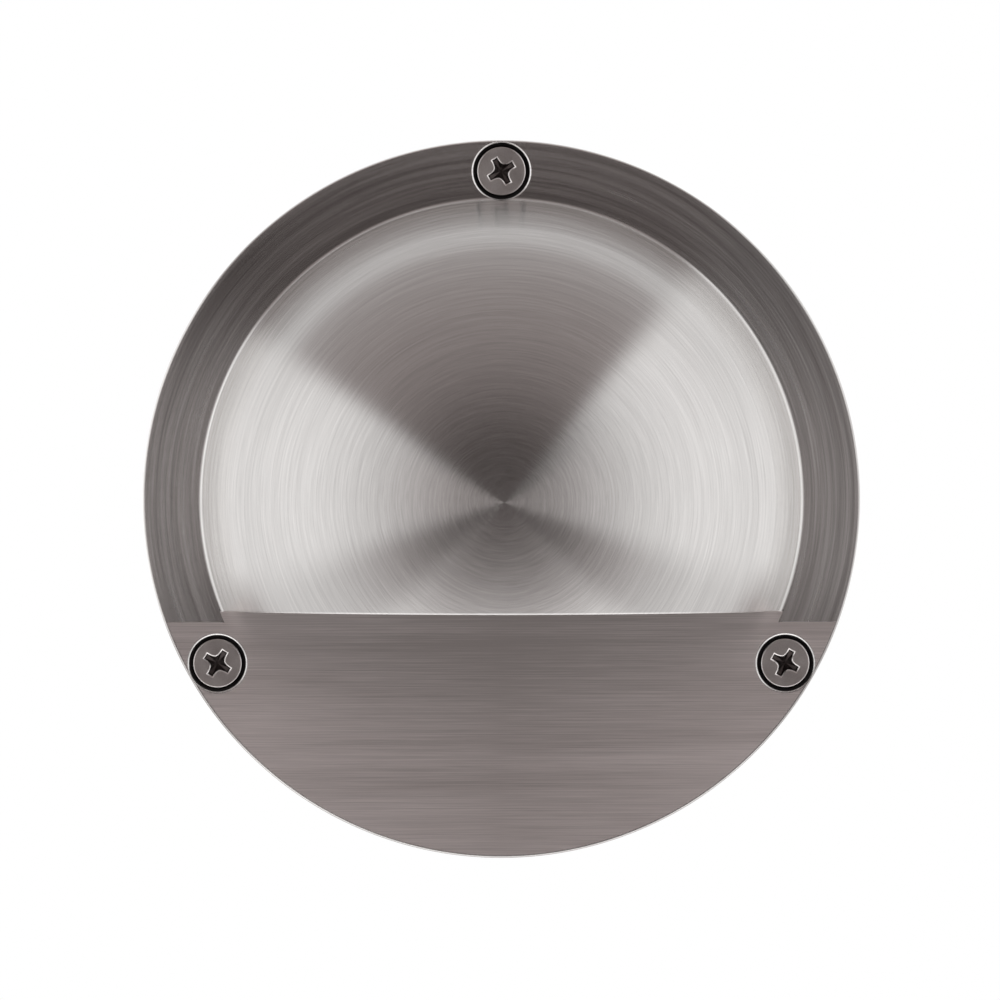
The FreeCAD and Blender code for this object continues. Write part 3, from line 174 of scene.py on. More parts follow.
def plate_angles(screws=(), spread=0):
    """Even angles round the plate, with closer ones within a spread of the screws; degrees in."""
    even = [math.radians(360 / ROUND_POINTS * i) for i in range(ROUND_POINTS)]
    close = [
        math.radians(screw - spread + CLOSE_STEP * i)
        for screw in screws for i in range(int(2 * spread / CLOSE_STEP) + 1)
    ]
    return sorted(even + [a for a in close if min(abs(a - e) for e in even) > 1e-4])


def bezier(a, c, b, steps):
    """Points of a quadratic curve from a to b with its corner at c."""
    points = []
    for i in range(steps + 1):
        t = i / steps
        points.append(tuple(
            (1 - t) ** 2 * pa + 2 * t * (1 - t) * pc + t * t * pb for pa, pc, pb in zip(a, c, b)
        ))
    return points


def arc(centre, radius, start, end, steps):
    """Points of an arc; its angle is taken from the line towards the viewer."""
    return [
        (centre[0] + radius * math.sin(t), centre[1] - radius * math.cos(t))
        for t in (start + (end - start) * i / steps for i in range(steps + 1))
    ]


def hood_profile(inset):
    """Hood's section from the apex to its foot as (radius, y), moved inwards by the inset."""
    sine = SHOULDER_START / CROWN
    tilt = math.asin(sine)
    flank_start = (CROWN - SHOULDER) * sine + SHOULDER * math.sin(FLANK)
    flank_top = PLATE_FRONT - (HOOD_RADIUS - flank_start) * math.tan(FLANK)
    centre = flank_top + (CROWN - SHOULDER) * math.cos(tilt) + SHOULDER * math.cos(FLANK)
    bend = ((CROWN - SHOULDER) * sine, centre - (CROWN - SHOULDER) * math.cos(tilt))
    points = arc((0.0, centre), CROWN - inset, 0.0, tilt, CROWN_STEPS)
    points += arc(bend, SHOULDER - inset, tilt, FLANK, SHOULDER_STEPS)[1:]
    if inset:
        opening = HOOD_RADIUS - inset / math.sin(FLANK) + (PLATE_BACK - PLATE_FRONT) / math.tan(FLANK)
        foot = [(opening, PLATE_BACK)]
    else:
        reach = ROOT_ROUND * math.tan(FLANK / 2)
        foot = arc((HOOD_RADIUS + reach, PLATE_FRONT - ROOT_ROUND), -ROOT_ROUND, FLANK, 0.0, ROOT_STEPS)
    start, end = points[-1], foot[0]
    for i in range(1, FLANK_STEPS + 1):
        points.append(tuple(s + (e - s) * i / FLANK_STEPS for s, e in zip(start, end)))
    return points + foot[1:]


def depth_at(profile, radius):
    """Y of a profile at a radius."""
    for (r0, y0), (r1, y1) in zip(profile, profile[1:]):
        if r0 <= radius <= r1:
            return y0 + (y1 - y0) * (radius - r0) / (r1 - r0)
    return profile[-1][1]


def edge_drop(far):
    """Depth of the plate's rounded edge below its face, at a distance from the plate's centre."""
    share = 1 - math.sqrt(max(0.0, PLATE_RADIUS - far) / EDGE_ROUND)
    return EDGE_ROUND * max(0.0, share) ** 2


def screw_places():
    """Centres of the face screws as (x, z, turn of the recess)."""
    return [
        (SCREW_CIRCLE * math.cos(math.radians(a)), SCREW_CIRCLE * math.sin(math.radians(a)), turn)
        for a, turn in SCREW_TURNS.items()
    ]


def flat_face(bm, loops, lines, y, keep, material_of, faces_front):
    """Flat face at a Y station, meshed between closed loops and along open lines of (x, z) points."""
    points, edges = [], []
    for loop in loops:
        first = len(points)
        points += loop
        edges += [(first + i, first + (i + 1) % len(loop)) for i in range(len(loop))]
    for line in lines:
        first = len(points)
        points += line
        edges += [(first + i, first + i + 1) for i in range(len(line) - 1)]
    verts, _, faces, _, _, _ = delaunay_2d_cdt([Vector(p) for p in points], edges, [], 0, 1e-5)
    made = [bm.verts.new((v.x, y, v.y)) for v in verts]
    for face in faces:
        middle = sum((verts[i] for i in face), Vector((0, 0))) / len(face)
        if not keep(middle):
            continue
        new = bm.faces.new([made[i] for i in face])
        new.material_index = material_of(middle)
        new.normal_update()
        if (new.normal.y < 0) != faces_front:
            new.normal_flip()
    bmesh.ops.delete(bm, geom=[v for v in made if not v.link_faces], context="VERTS")


def cut_below(bm, geometry, height):
    """Clears what a surface has below a height."""
    verts, faces = geometry
    edges = {edge for face in faces for edge in face.edges}
    bmesh.ops.bisect_plane(
        bm, geom=list(verts) + list(edges) + list(faces), dist=1e-6,
        plane_co=(0, 0, height), plane_no=(0, 0, -1), clear_outer=True,
    )


def add_hood(bm, outer, inner, angles):
    """Hood's two surfaces down to its lip; the outer one opens into the top screw's sink."""
    skin = turned(bm, outer, angles)
    x, z, _ = screw_places()[0]
    for vert in skin[0]:
        across, up = vert.co.x - x, vert.co.z - z
        away = math.hypot(across, up)
        if SINK_RADIUS - SINK_SNAP < away < SINK_RADIUS:
            vert.co.x = x + across * SINK_RADIUS / away
            vert.co.z = z + up * SINK_RADIUS / away
            vert.co.y = depth_at(outer, math.hypot(vert.co.x, vert.co.z))
        elif away < SINK_RADIUS:
            # Inside the sink: pushed down, with its faces painted near-black as shade.
            vert.co.y = PLATE_FRONT + SINK_DEPTH
            for face in vert.link_faces:
                face.material_index = PAINTED_SHADE_WALL
    cut_below(bm, skin, MOUTH + LIP_ROUND)
    inside = turned(bm, inner, plate_angles())
    bmesh.ops.reverse_faces(bm, faces=inside[1])
    cut_below(bm, inside, MOUTH + LIP_ROUND)


def add_lip(bm, outer, inner, half):
    """Rounded lip that follows the wall's section at the mouth, from side to side."""
    root = outer[-1][0]
    top = MOUTH + LIP_ROUND
    strips = []
    for i in range(LIP_STRIPS + 1):
        x = half * math.sin(math.pi * (i / LIP_STRIPS - 0.5))
        front_high = depth_at(outer, min(math.hypot(x, top), root))
        front = depth_at(outer, min(math.hypot(x, MOUTH), root))
        back = min(depth_at(inner, math.hypot(x, MOUTH)), PLATE_FRONT)
        back_high = min(depth_at(inner, math.hypot(x, top)), PLATE_FRONT)
        soft = min(LIP_ROUND, (back - front) * LIP_SHARE)
        strips.append(
            bezier((x, front_high, top), (x, front, MOUTH), (x, front + soft, MOUTH), ROUND_STEPS)
            + bezier((x, back - soft, MOUTH), (x, back, MOUTH), (x, back_high, top), ROUND_STEPS)
        )
    add_grid(bm, strips, False)


def add_disc(bm, root, opening, half, hood_angles, edge_angles):
    """Front and back of the disc, with the hood's opening, the sinks' rims and the screw holes."""
    screws = screw_places()
    small = even_angles(SMALL_POINTS)

    def add_face(outline, foot, hole, lines, y, material_of, faces_front):
        """One face; its outline and the hood's foot are each a radius with its angles."""
        def keep(p):
            if p.length > outline[0] or (p.length < foot[0] and p.y > MOUTH):
                return False
            return all((p - Vector((x, z))).length > hole for x, z, _ in screws)

        loops = [circle(*outline), circle(*foot)]
        loops += [circle(hole, small, x, z) for x, z, _ in screws]
        flat_face(bm, loops, lines, y, keep, material_of, faces_front)

    chord = [(half * (i / CHORD_PIECES * 2 - 1), MOUTH) for i in range(CHORD_PIECES + 1)]
    flat_radius = PLATE_RADIUS - EDGE_ROUND
    seams = [[(-flat_radius, SEAM), (-half, SEAM)], [(half, SEAM), (flat_radius, SEAM)]]
    add_face(
        (flat_radius, edge_angles), (root, hood_angles), SINK_RADIUS + SINK_ROUND, [chord] + seams, PLATE_FRONT,
        lambda p: LEVEL_STEEL if p.y < SEAM or p.length < root else ROUND_STEEL, True,
    )
    add_face(
        (PLATE_RADIUS, edge_angles), (opening, plate_angles()), HOLE_RADIUS, [chord], PLATE_BACK,
        lambda p: ROUND_STEEL, False,
    )


def add_sink(bm, x, z):
    """Countersink with a rounded bright rim over a wall painted near-black as shade."""
    small = even_angles(SMALL_POINTS)
    rim = bezier(
        (SINK_RADIUS + SINK_ROUND, PLATE_FRONT), (SINK_RADIUS, PLATE_FRONT),
        (SINK_RADIUS - SINK_ROUND, PLATE_FRONT + SINK_ROUND), ROUND_STEPS,
    )
    for vert in turned(bm, rim[::-1], small, x, z)[0]:
        drop = edge_drop(math.hypot(vert.co.x, vert.co.z))
        vert.co.y = max(vert.co.y, PLATE_FRONT + drop)
    wall = [
        (HOLE_RADIUS, PLATE_BACK),
        (HOLE_RADIUS, PLATE_FRONT + SINK_RADIUS - HOLE_RADIUS),
        (rim[-1][0] - SINK_TAPER, PLATE_FRONT + SINK_WALL),
        rim[-1],
    ]
    turned(bm, wall, small, x, z, PAINTED_SHADE_WALL)


def add_edge(bm, angles):
    """Disc's rounded edge, pushed down where it crosses a sink."""
    edge = bezier(
        (PLATE_RADIUS - EDGE_ROUND, PLATE_FRONT), (PLATE_RADIUS, PLATE_FRONT),
        (PLATE_RADIUS, PLATE_FRONT + EDGE_ROUND), EDGE_STEPS,
    )
    for vert in turned(bm, edge + [(PLATE_RADIUS, PLATE_BACK)], angles)[0]:
        away = min(math.hypot(vert.co.x - x, vert.co.z - z) for x, z, _ in screw_places())
        if away < SINK_RADIUS:
            vert.co.y = max(vert.co.y, PLATE_FRONT + SINK_DEPTH)


def face_plate(circular, level, shade):
    """Disc with its pressed hood, rounded lip and edge, and three countersinks."""
    bm = bmesh.new()
    outer, inner = hood_profile(0), hood_profile(HOOD_WALL)
    root, opening = outer[-1][0], inner[-1][0]
    half = math.sqrt(root ** 2 - MOUTH ** 2)
    top_screw = next(iter(SCREW_TURNS))
    hood_angles = plate_angles([top_screw], HOOD_SPREAD)
    edge_angles = plate_angles(SCREW_TURNS, EDGE_SPREAD)
    add_hood(bm, outer, inner, hood_angles)
    add_lip(bm, outer, inner, half)
    add_disc(bm, root, opening, half, hood_angles, edge_angles)
    for x, z, _ in screw_places():
        add_sink(bm, x, z)
    add_edge(bm, edge_angles)

    # Upper edge of the level segment, below the hood's opening.
    width = math.sqrt(opening ** 2 - MOUTH ** 2)
    rows = [[(-width, y, MOUTH), (width, y, MOUTH)] for y in (PLATE_FRONT, PLATE_BACK)]
    add_grid(bm, rows, False, LEVEL_STEEL, False)
    return mesh_object("face_plate_skin", bm, "face_plate", [circular, level, shade])


def cross_outline(inset, turn):
    """Outline of a cross recess with rounded inner corners, moved inwards by the inset."""
    # A wing's end and start with their half widths, then the corner between two wings.
    end, end_half = 2.3 - inset, 0.60 - inset
    start, start_half = 1.5, 0.62 - 0.97 * inset
    far, near = 1.16 - 0.5 * inset, 0.70 - 0.8 * inset
    middle = 0.86 - 0.7 * inset
    quarter = (
        (start, -start_half), (end, -end_half), (end, end_half), (start, start_half),
        (far, near), (middle, middle), (near, far),
    )
    points = []
    for swing in (math.radians(turn + 90 * i) for i in range(4)):
        cosine, sine = math.cos(swing), math.sin(swing)
        points += [(along * cosine - across * sine, along * sine + across * cosine) for along, across in quarter]
    return points


def within(polygon, p):
    """Whether a point lies in a polygon of (x, z) points."""
    hit = False
    for (x0, z0), (x1, z1) in zip(polygon, polygon[1:] + polygon[:1]):
        if (z0 > p.y) != (z1 > p.y) and p.x < (x1 - x0) * (p.y - z0) / (z1 - z0) + x0:
            hit = not hit
    return hit


def screw_profile():
    """Screw's section from the edge of its flat top to its tip as (radius, y), with a rolled thread."""
    profile = bezier(
        (HEAD_RADIUS - HEAD_ROUND, HEAD_TOP), (HEAD_RADIUS, HEAD_TOP),
        (HEAD_RADIUS, HEAD_TOP + HEAD_ROUND), HEAD_STEPS,
    )
    neck = HEAD_SEAT + HEAD_RADIUS - SHANK_RADIUS
    end = HEAD_SEAT + SCREW_LENGTH
    profile += [(HEAD_RADIUS, HEAD_SEAT), (SHANK_RADIUS, neck)]
    y = neck + THREAD_START
    while y + THREAD_PITCH < end - THREAD_END:
        profile += [(SHANK_RADIUS, y), (SHANK_RADIUS - THREAD_DEPTH, y + THREAD_PITCH / 2)]
        y += THREAD_PITCH
    return profile + [(SHANK_RADIUS - TIP_TAPER, end), (0.0, end)]


def face_screws(steel, shade):
    """Countersunk screws with a rounded head edge and a tapered cross recess, painted dark as shade in its deeper
    strips.
    """
    bm = bmesh.new()
    small = even_angles(SMALL_POINTS)
    flat_radius = HEAD_RADIUS - HEAD_ROUND
    for x, z, turn in screw_places():
        middle = Vector((x, z))
        mouth = [(x + a, z + b) for a, b in cross_outline(0, turn)]

        def in_head(p):
            return (p - middle).length < flat_radius and not within(mouth, p)

        flat_face(bm, [circle(flat_radius, small, x, z), mouth], [], HEAD_TOP, in_head, lambda p: 0, True)
        rows = []
        for inset, share, depth in RECESS:
            outline = cross_outline(inset, turn)
            rows.append([(x + a * share, HEAD_TOP + depth, z + b * share) for a, b in outline])
        add_grid(bm, rows[:RECESS_BRIGHT + 1], True)
        # Deeper strips get the recess's painted shade.
        add_grid(bm, rows[RECESS_BRIGHT:], True, 1, False)
        turned(bm, screw_profile(), small, x, z)
    return mesh_object("face_screw_set", bm, "face_screws", [steel, shade])


# Materials

class Recipe:
    """Node material that is built up step by step, in metres on the object."""

    def __init__(self, name):
        self.material = bpy.data.materials.new(name)
        self.material.use_nodes = True
        self.tree = self.material.node_tree
        self.shader = self.tree.nodes["Principled BSDF"]
        self.place = self.tree.nodes.new("ShaderNodeTexCoord").outputs["Object"]

    def feed(self, value, socket):
        """Writes a number into a socket, or links an output to it."""
        if isinstance(value, (int, float)):
            socket.default_value = value
        else:
            self.tree.links.new(value, socket)

    def math(self, operation, *values):
        node = self.tree.nodes.new("ShaderNodeMath")
        node.operation = operation
        for socket, value in zip(node.inputs, values):
            self.feed(value, socket)
        return node.outputs[0]

    def add(self, a, b):
        return self.math("ADD", a, b)

    def times(self, a, b):
        return self.math("MULTIPLY", a, b)

    def split(self, vector):
        node = self.tree.nodes.new("ShaderNodeSeparateXYZ")
        self.feed(vector, node.inputs[0])
        return node.outputs

    def join(self, *values):
        node = self.tree.nodes.new("ShaderNodeCombineXYZ")
        for socket, value in zip(node.inputs, values):
            self.feed(value, socket)
        return node.outputs[0]

    def scaled(self, vector, factors):
        node = self.tree.nodes.new("ShaderNodeVectorMath")
        node.operation = "MULTIPLY"
        self.feed(vector, node.inputs[0])
        node.inputs[1].default_value = factors
        return node.outputs[0]

    def noise(self, vector, scale, detail=2.0, roughness=0.5):
        node = self.tree.nodes.new("ShaderNodeTexNoise")
        node.inputs["Scale"].default_value = scale
        node.inputs["Detail"].default_value = detail
        node.inputs["Roughness"].default_value = roughness
        self.feed(vector, node.inputs["Vector"])
        return node.outputs[0]

    def cells(self, vector, scale):
        node = self.tree.nodes.new("ShaderNodeTexVoronoi")
        node.inputs["Scale"].default_value = scale
        self.feed(vector, node.inputs["Vector"])
        return node.outputs["Distance"]

    def span(self, value, low, high, start=0.0, end=1.0):
        """Runs from low to high as the value runs from start to end, and stays level outside."""
        node = self.tree.nodes.new("ShaderNodeMapRange")
        node.inputs["From Min"].default_value = start
        node.inputs["From Max"].default_value = end
        self.feed(low, node.inputs["To Min"])
        self.feed(high, node.inputs["To Max"])
        self.feed(value, node.inputs["Value"])
        return node.outputs[0]

    def tint(self, value, dark, light, start=0.3, end=0.7):
        """Colour between a dark and a light one."""
        node = self.tree.nodes.new("ShaderNodeValToRGB")
        for mark, place, colour in zip(node.color_ramp.elements, (start, end), (dark, light)):
            mark.position = place
            mark.color = (*colour, 1)
        self.feed(value, node.inputs[0])
        return node.outputs[0]

    def bump(self, height, distance, strength=1.0):
        node = self.tree.nodes.new("ShaderNodeBump")
        node.inputs["Strength"].default_value = strength
        node.inputs["Distance"].default_value = distance
        self.feed(height, node.inputs["Height"])
        self.feed(node.outputs[0], self.shader.inputs["Normal"])

    def set(self, **values):
        """Feeds the shader's own sockets and returns the material."""
        for name, value in values.items():
            self.feed(value, self.shader.inputs[name.replace("_", " ")])
        return self.material


def streaks(recipe, along, lines, scales):
    """Noises in long thin cells, one for each (reach along the lines, cells per metre across them)."""
    made = []
    for stretch, pitch in scales:
        shift = recipe.tree.nodes.new("ShaderNodeVectorMath")
        shift.operation = "ADD"
        recipe.feed(recipe.scaled(along, (stretch, 0.0, stretch)), shift.inputs[0])
        recipe.feed(recipe.join(0.0, recipe.times(lines, pitch), 0.0), shift.inputs[1])
        made.append(recipe.noise(shift.outputs[0], 1.0, 2.0, 0.6))
    return made


def streak_blend(recipe, long, short, broad, contrast):
    """Sum of streaks about a middle of 0.5."""
    blend = recipe.times(long, 0.5)
    for value, weight in ((short, 0.3), (broad, 0.2)):
        blend = recipe.add(blend, recipe.times(value, weight))
    return recipe.add(recipe.times(recipe.math("SUBTRACT", blend, 0.5), contrast), 0.5)


def brushed(recipe, across, long, blend, colours, roughness):
    """Steel that stretches its reflections across the brush lines."""
    recipe.feed(across, recipe.shader.inputs["Tangent"])
    recipe.bump(long, 0.000005, 0.5)
    return recipe.set(
        Base_Color=recipe.tint(blend, *colours, 0.34, 0.86),
        Metallic=1.0, Anisotropic=0.92, Roughness=roughness,
    )


def brushed_round(name, colours, rough):
    """Steel brushed in circles round the lamp's axis, with painted reflection at the sides, the left edge and the
    top; radii are in metres.
    """
    recipe = Recipe(name)
    x, _, z = recipe.split(recipe.place)
    radius = recipe.math("SQRT", recipe.add(recipe.times(x, x), recipe.times(z, z)))
    safe = recipe.math("MAXIMUM", radius, 1e-5)
    across = recipe.join(recipe.math("DIVIDE", x, safe), 0.0, recipe.math("DIVIDE", z, safe))
    sideways, _, up = recipe.split(across)
    scales = ((1.6, 4600.0), (6.0, 6000.0), (1.0, 950.0), (3.0, 2600.0))
    long, short, coarse, close = streaks(recipe, across, radius, scales)

    # Coarse streaks on the flat rim, closer and fainter ones on the hood.
    on_rim = recipe.span(radius, 0.0, 1.0, 0.045, 0.047)
    on_hood = recipe.math("SUBTRACT", 1.0, on_rim)
    broad = recipe.add(recipe.times(coarse, on_rim), recipe.times(close, on_hood))
    blend = streak_blend(recipe, long, short, broad, recipe.span(radius, 0.65, 1.25, 0.044, 0.047))

    # Painted reflection: paler on the flank and beside its foot at the sides, ...
    flank = recipe.math(
        "MINIMUM", recipe.span(radius, 0.0, 0.16, 0.0415, 0.0428), recipe.span(radius, 0.16, 0.08, 0.0458, 0.0463),
    )
    flank = recipe.math("MINIMUM", flank, recipe.span(radius, 0.24, 0.0, 0.0465, 0.051))
    blend = recipe.add(blend, recipe.times(flank, recipe.math("ABSOLUTE", sideways)))
    # ... a painted highlight along the left outer edge ...
    leftward = recipe.math("MAXIMUM", recipe.times(sideways, -1.0), 0.0)
    blend = recipe.add(blend, recipe.times(recipe.span(radius, 0.0, 0.25, 0.0537, 0.0549), leftward))
    # ... and painted reflection, paler on the rim near the top.
    near_top = recipe.span(up, 0.0, 1.0, 0.7, 0.95)
    painted_top_sheen = recipe.times(recipe.span(radius, 0.1, 0.34, 0.0475, 0.0525), on_rim)
    blend = recipe.add(blend, recipe.times(painted_top_sheen, near_top))

    swing = recipe.span(radius, 0.006, 0.034, 0.03, 0.047)
    low, high = (recipe.math(side, rough, swing) for side in ("SUBTRACT", "ADD"))
    return brushed(recipe, across, long, blend, colours, recipe.span(broad, low, high, 0.3, 0.7))


def brushed_level(name, colours, rough):
    """Steel brushed in level lines, a little cloudy, with painted reflection paler towards the sides and the bottom
    and painted shade just under the hood's mouth.
    """
    recipe = Recipe(name)
    x, _, z = recipe.split(recipe.place)
    across = recipe.join(0.0, 0.0, 1.0)
    along = recipe.join(recipe.times(x, 20.0), 0.0, 0.0)
    scales = ((1.6, 5200.0), (6.0, 7000.0), (1.0, 330.0), (0.25, 170.0))
    long, short, broad, cloud = streaks(recipe, along, z, scales)
    blend = streak_blend(recipe, long, short, broad, 1.4)
    # Painted reflection paler at the sides, painted shade under the mouth, random cloud, and painted reflection paler
    # towards the bottom.
    for shade in (
        recipe.span(recipe.math("ABSOLUTE", x), -0.1, 0.12, 0.0, 0.036),
        recipe.span(z, 0.0, -0.05, -0.034, -0.02),
        recipe.span(cloud, -0.08, 0.08, 0.3, 0.7),
        recipe.span(z, 0.22, 0.0, -0.054, -0.024),
    ):
        blend = recipe.add(blend, shade)
    return brushed(recipe, across, long, blend, colours, recipe.span(broad, *rough, 0.3, 0.7))


def grained(name, dark, light, rough, scale, depth, metallic=0.0, **more):
    """Even material with a fine grain: colour, roughness and height follow the same noise."""
    recipe = Recipe(name)
    grain = recipe.noise(recipe.place, scale, 4.0, 0.6)
    cloud = recipe.noise(recipe.place, scale * 0.06, 2.0, 0.5)
    blend = recipe.add(recipe.times(grain, 0.5), recipe.times(cloud, 0.5))
    recipe.bump(grain, depth)
    return recipe.set(
        Base_Color=recipe.tint(blend, dark, light), Metallic=metallic,
        Roughness=recipe.span(blend, *rough, 0.3, 0.7), **more,
    )


def foam(name, dark, light):
    """Closed-cell foam with small open pores on its cut faces."""
    recipe = Recipe(name)
    pores = recipe.cells(recipe.place, 1400.0)
    recipe.bump(pores, 0.00012)
    return recipe.set(
        Base_Color=recipe.tint(pores, dark, light, 0.0, 0.6), Roughness=recipe.span(pores, 0.98, 0.8),
    )


def threaded(name, dark, light, rough, metallic, pitch):
    """Turned or threaded metal: rings round Y at a pitch, over a fine grain."""
    recipe = Recipe(name)
    _, y, _ = recipe.split(recipe.place)
    wave = recipe.math("SINE", recipe.times(y, 2 * math.pi / pitch))
    grain = recipe.noise(recipe.place, 1800.0, 3.0)
    recipe.bump(recipe.add(recipe.times(wave, 0.5), recipe.times(grain, 0.3)), 0.00004)
    return recipe.set(
        Base_Color=recipe.tint(grain, dark, light), Metallic=metallic, Roughness=recipe.span(grain, *rough),
    )


def circuit(name, dark, light, copper):
    """Coated circuit board: faint copper paths under the coat, in a woven base."""
    recipe = Recipe(name)
    x, y, z = recipe.split(recipe.place)
    cells = recipe.tree.nodes.new("ShaderNodeTexBrick")
    cells.inputs["Scale"].default_value = 220.0
    cells.inputs["Mortar Size"].default_value = 0.06
    for socket, colour in (("Color1", dark), ("Color2", light), ("Mortar", copper)):
        cells.inputs[socket].default_value = (*colour, 1)
    recipe.feed(recipe.join(x, z, y), cells.inputs["Vector"])
    recipe.bump(cells.outputs["Fac"], 0.00003)
    cloth = recipe.noise(recipe.place, 2500.0)
    return recipe.set(Base_Color=cells.outputs["Color"], Roughness=recipe.span(cloth, 0.28, 0.45))


STEEL = ((0.475, 0.46, 0.452), (0.816, 0.798, 0.784))
WARM_STEEL = ((0.518, 0.467, 0.454), (0.832, 0.757, 0.744))

# Slot: name, dark colour, light colour, roughness range, grain per metre, depth of the grain, metallic.
GRAINED = {
    "screw_steel": ("steel_screw", (0.62, 0.58, 0.565), (0.78, 0.745, 0.73), (0.3, 0.38), 5200.0, 0.000002, 1.0),
    # Near-black painted shade for the walls of the sinks.
    "sink_shade": ("painted_shade_sink", (0.012, 0.010, 0.010), (0.035, 0.03, 0.03), (0.55, 0.7), 3500.0, 0.00002),
    # Dark painted shade for the deeper strips of the cross recesses.
    "recess_shade": ("painted_shade_recess", (0.05, 0.04, 0.038), (0.16, 0.135, 0.13), (0.4, 0.6), 2400.0, 0.00002, 1.0),
    "black_moulding": ("moulding_black", (0.014, 0.014, 0.015), (0.03, 0.03, 0.032), (0.42, 0.58), 2600.0, 0.00003),
    "black_rubber": ("rubber_black", (0.010, 0.010, 0.011), (0.026, 0.026, 0.027), (0.6, 0.85), 1100.0, 0.00002),
    "cast_aluminium": ("aluminium_cast", (0.46, 0.46, 0.45), (0.62, 0.62, 0.61), (0.45, 0.62), 1900.0, 0.00006, 1.0),
    "bezel_aluminium": ("aluminium_bezel", (0.70, 0.70, 0.69), (0.82, 0.82, 0.81), (0.3, 0.42), 2400.0, 0.00001, 1.0),
    "frosted_glass": ("glass_frosted", (0.86, 0.88, 0.87), (0.95, 0.96, 0.95), (0.42, 0.6), 3000.0, 0.00003),
    "grey_pad": ("pad_grey", (0.16, 0.17, 0.18), (0.25, 0.26, 0.27), (0.7, 0.9), 900.0, 0.00003),
    "chip_phosphor": ("chip_yellow", (0.80, 0.62, 0.12), (0.90, 0.74, 0.22), (0.35, 0.5), 2500.0, 0.00002),
    "white_plastic": ("plastic_white", (0.74, 0.73, 0.70), (0.84, 0.83, 0.80), (0.35, 0.5), 1800.0, 0.00002),
    "dark_plastic": ("plastic_dark", (0.03, 0.03, 0.035), (0.07, 0.07, 0.075), (0.35, 0.55), 1600.0, 0.00003),
    "clear_plastic": ("plastic_clear", (0.80, 0.81, 0.80), (0.90, 0.91, 0.90), (0.2, 0.35), 1500.0, 0.00002),
    "tinned_lug": ("lug_tinned", (0.62, 0.62, 0.60), (0.76, 0.76, 0.74), (0.28, 0.45), 1500.0, 0.00001, 1.0),
    "red_insulation": ("insulation_red", (0.42, 0.02, 0.02), (0.55, 0.04, 0.03), (0.3, 0.45), 900.0, 0.00001),
    "brown_insulation": ("insulation_brown", (0.10, 0.035, 0.012), (0.16, 0.06, 0.02), (0.3, 0.45), 900.0, 0.00001),
    "green_insulation": ("insulation_green", (0.10, 0.30, 0.03), (0.42, 0.48, 0.04), (0.3, 0.45), 160.0, 0.00001),
    "black_nylon": ("nylon_black", (0.016, 0.016, 0.017), (0.034, 0.034, 0.036), (0.34, 0.5), 2000.0, 0.00003),
}
CLEAR = {
    "frosted_glass": {"Transmission_Weight": 0.75, "IOR": 1.5},
    "clear_plastic": {"Transmission_Weight": 0.35, "IOR": 1.49},
}


def materials():
    """Material of each slot of the record, the painted shade of the sinks and the recesses, and the level brushing.
    """
    made = {slot: grained(*values, **CLEAR.get(slot, {})) for slot, values in GRAINED.items()}
    made["plate_steel"] = brushed_round("steel_brushed_round", STEEL, 0.245)
    made["plate_level"] = brushed_level("steel_brushed_level", WARM_STEEL, (0.44, 0.54))
    made["black_foam"] = foam("foam_black", (0.012, 0.012, 0.013), (0.035, 0.035, 0.036))
    made["turned_brass"] = threaded(
        "brass_turned", (0.60, 0.42, 0.17), (0.78, 0.58, 0.28), (0.22, 0.4), 1.0, 0.0005,
    )
    made["white_board"] = circuit("board_white", (0.78, 0.78, 0.76), (0.82, 0.82, 0.80), (0.70, 0.70, 0.66))
    made["green_board"] = circuit("board_green", (0.012, 0.10, 0.035), (0.02, 0.13, 0.045), (0.05, 0.22, 0.08))
    return made


def dress(made):
    """Materials on the nodes whose solids stay shown."""
    for part in frame["record"]["subparts"]:
        mesh = nodes[part["node"]].data
        mesh.materials.clear()
        mesh.materials.append(made[part["material_slot"]])


# Studio

FLOOR = -0.30
WORLD_LEVEL = 0.75  # the world's light on matt surfaces
TENT_RADIUS = 6.0

# Tent's brightness by the angle off the line from the light to the viewer, in degrees.
SIDE_LEVELS = (
    (0, 0.09), (8, 0.20), (16, 0.40), (24, 0.58), (34, 0.95),
    (46, 1.19), (62, 1.46), (80, 1.08), (112, 1.5), (180, 1.6),
)
TOP_LEVELS = (
    (0, 0.02), (14, 0.03), (24, 0.10), (34, 0.27), (48, 0.35),
    (62, 0.36), (74, 0.33), (84, 0.88), (180, 0.92),
)
LOW_LEVELS = (
    (0, 0.04), (8, 0.085), (16, 0.13), (26, 0.185), (36, 0.56),
    (50, 1.48), (70, 1.95), (90, 1.40), (112, 0.5), (180, 0.5),
)
BAR_LEVELS = (
    (0, 0.03), (8, 0.035), (14, 0.045), (23, 0.07), (32, 0.32), (41, 0.62),
    (50, 0.88), (60, 1.1), (80, 1.1), (105, 0.5), (180, 0.5),
)

# Bearings round that line in degrees, where 0 is to the right and 90 is up: from, to, softness.
LOW_WINDOW = (-138, -39, 15)
BARS = ((-159, -134, 5), (-44, -19, 5))  # two dim bars low at the sides
FLARE_WINDOW = (22, 158, 10)
TOP_WINDOW = (48, 146, 3, 29.0, 9.0)  # also how far its two sides spread near the line


def plain_world():
    """Even light, which the camera, mirrors and clear pieces see as white."""
    world = bpy.data.worlds.new("plain_world")
    bpy.context.scene.world = world
    world.use_nodes = True
    tree = world.node_tree
    path = tree.nodes.new("ShaderNodeLightPath")
    seen = path.outputs["Is Camera Ray"]
    for ray in ("Is Glossy Ray", "Is Transmission Ray"):
        either = tree.nodes.new("ShaderNodeMath")
        either.operation = "MAXIMUM"
        tree.links.new(seen, either.inputs[0])
        tree.links.new(path.outputs[ray], either.inputs[1])
        seen = either.outputs[0]
    level = tree.nodes.new("ShaderNodeMapRange")
    level.inputs["To Min"].default_value = WORLD_LEVEL
    tree.links.new(seen, level.inputs["Value"])
    back = tree.nodes["Background"]
    tree.links.new(level.outputs[0], back.inputs["Strength"])
    back.inputs["Color"].default_value = (1, 1, 1, 1)


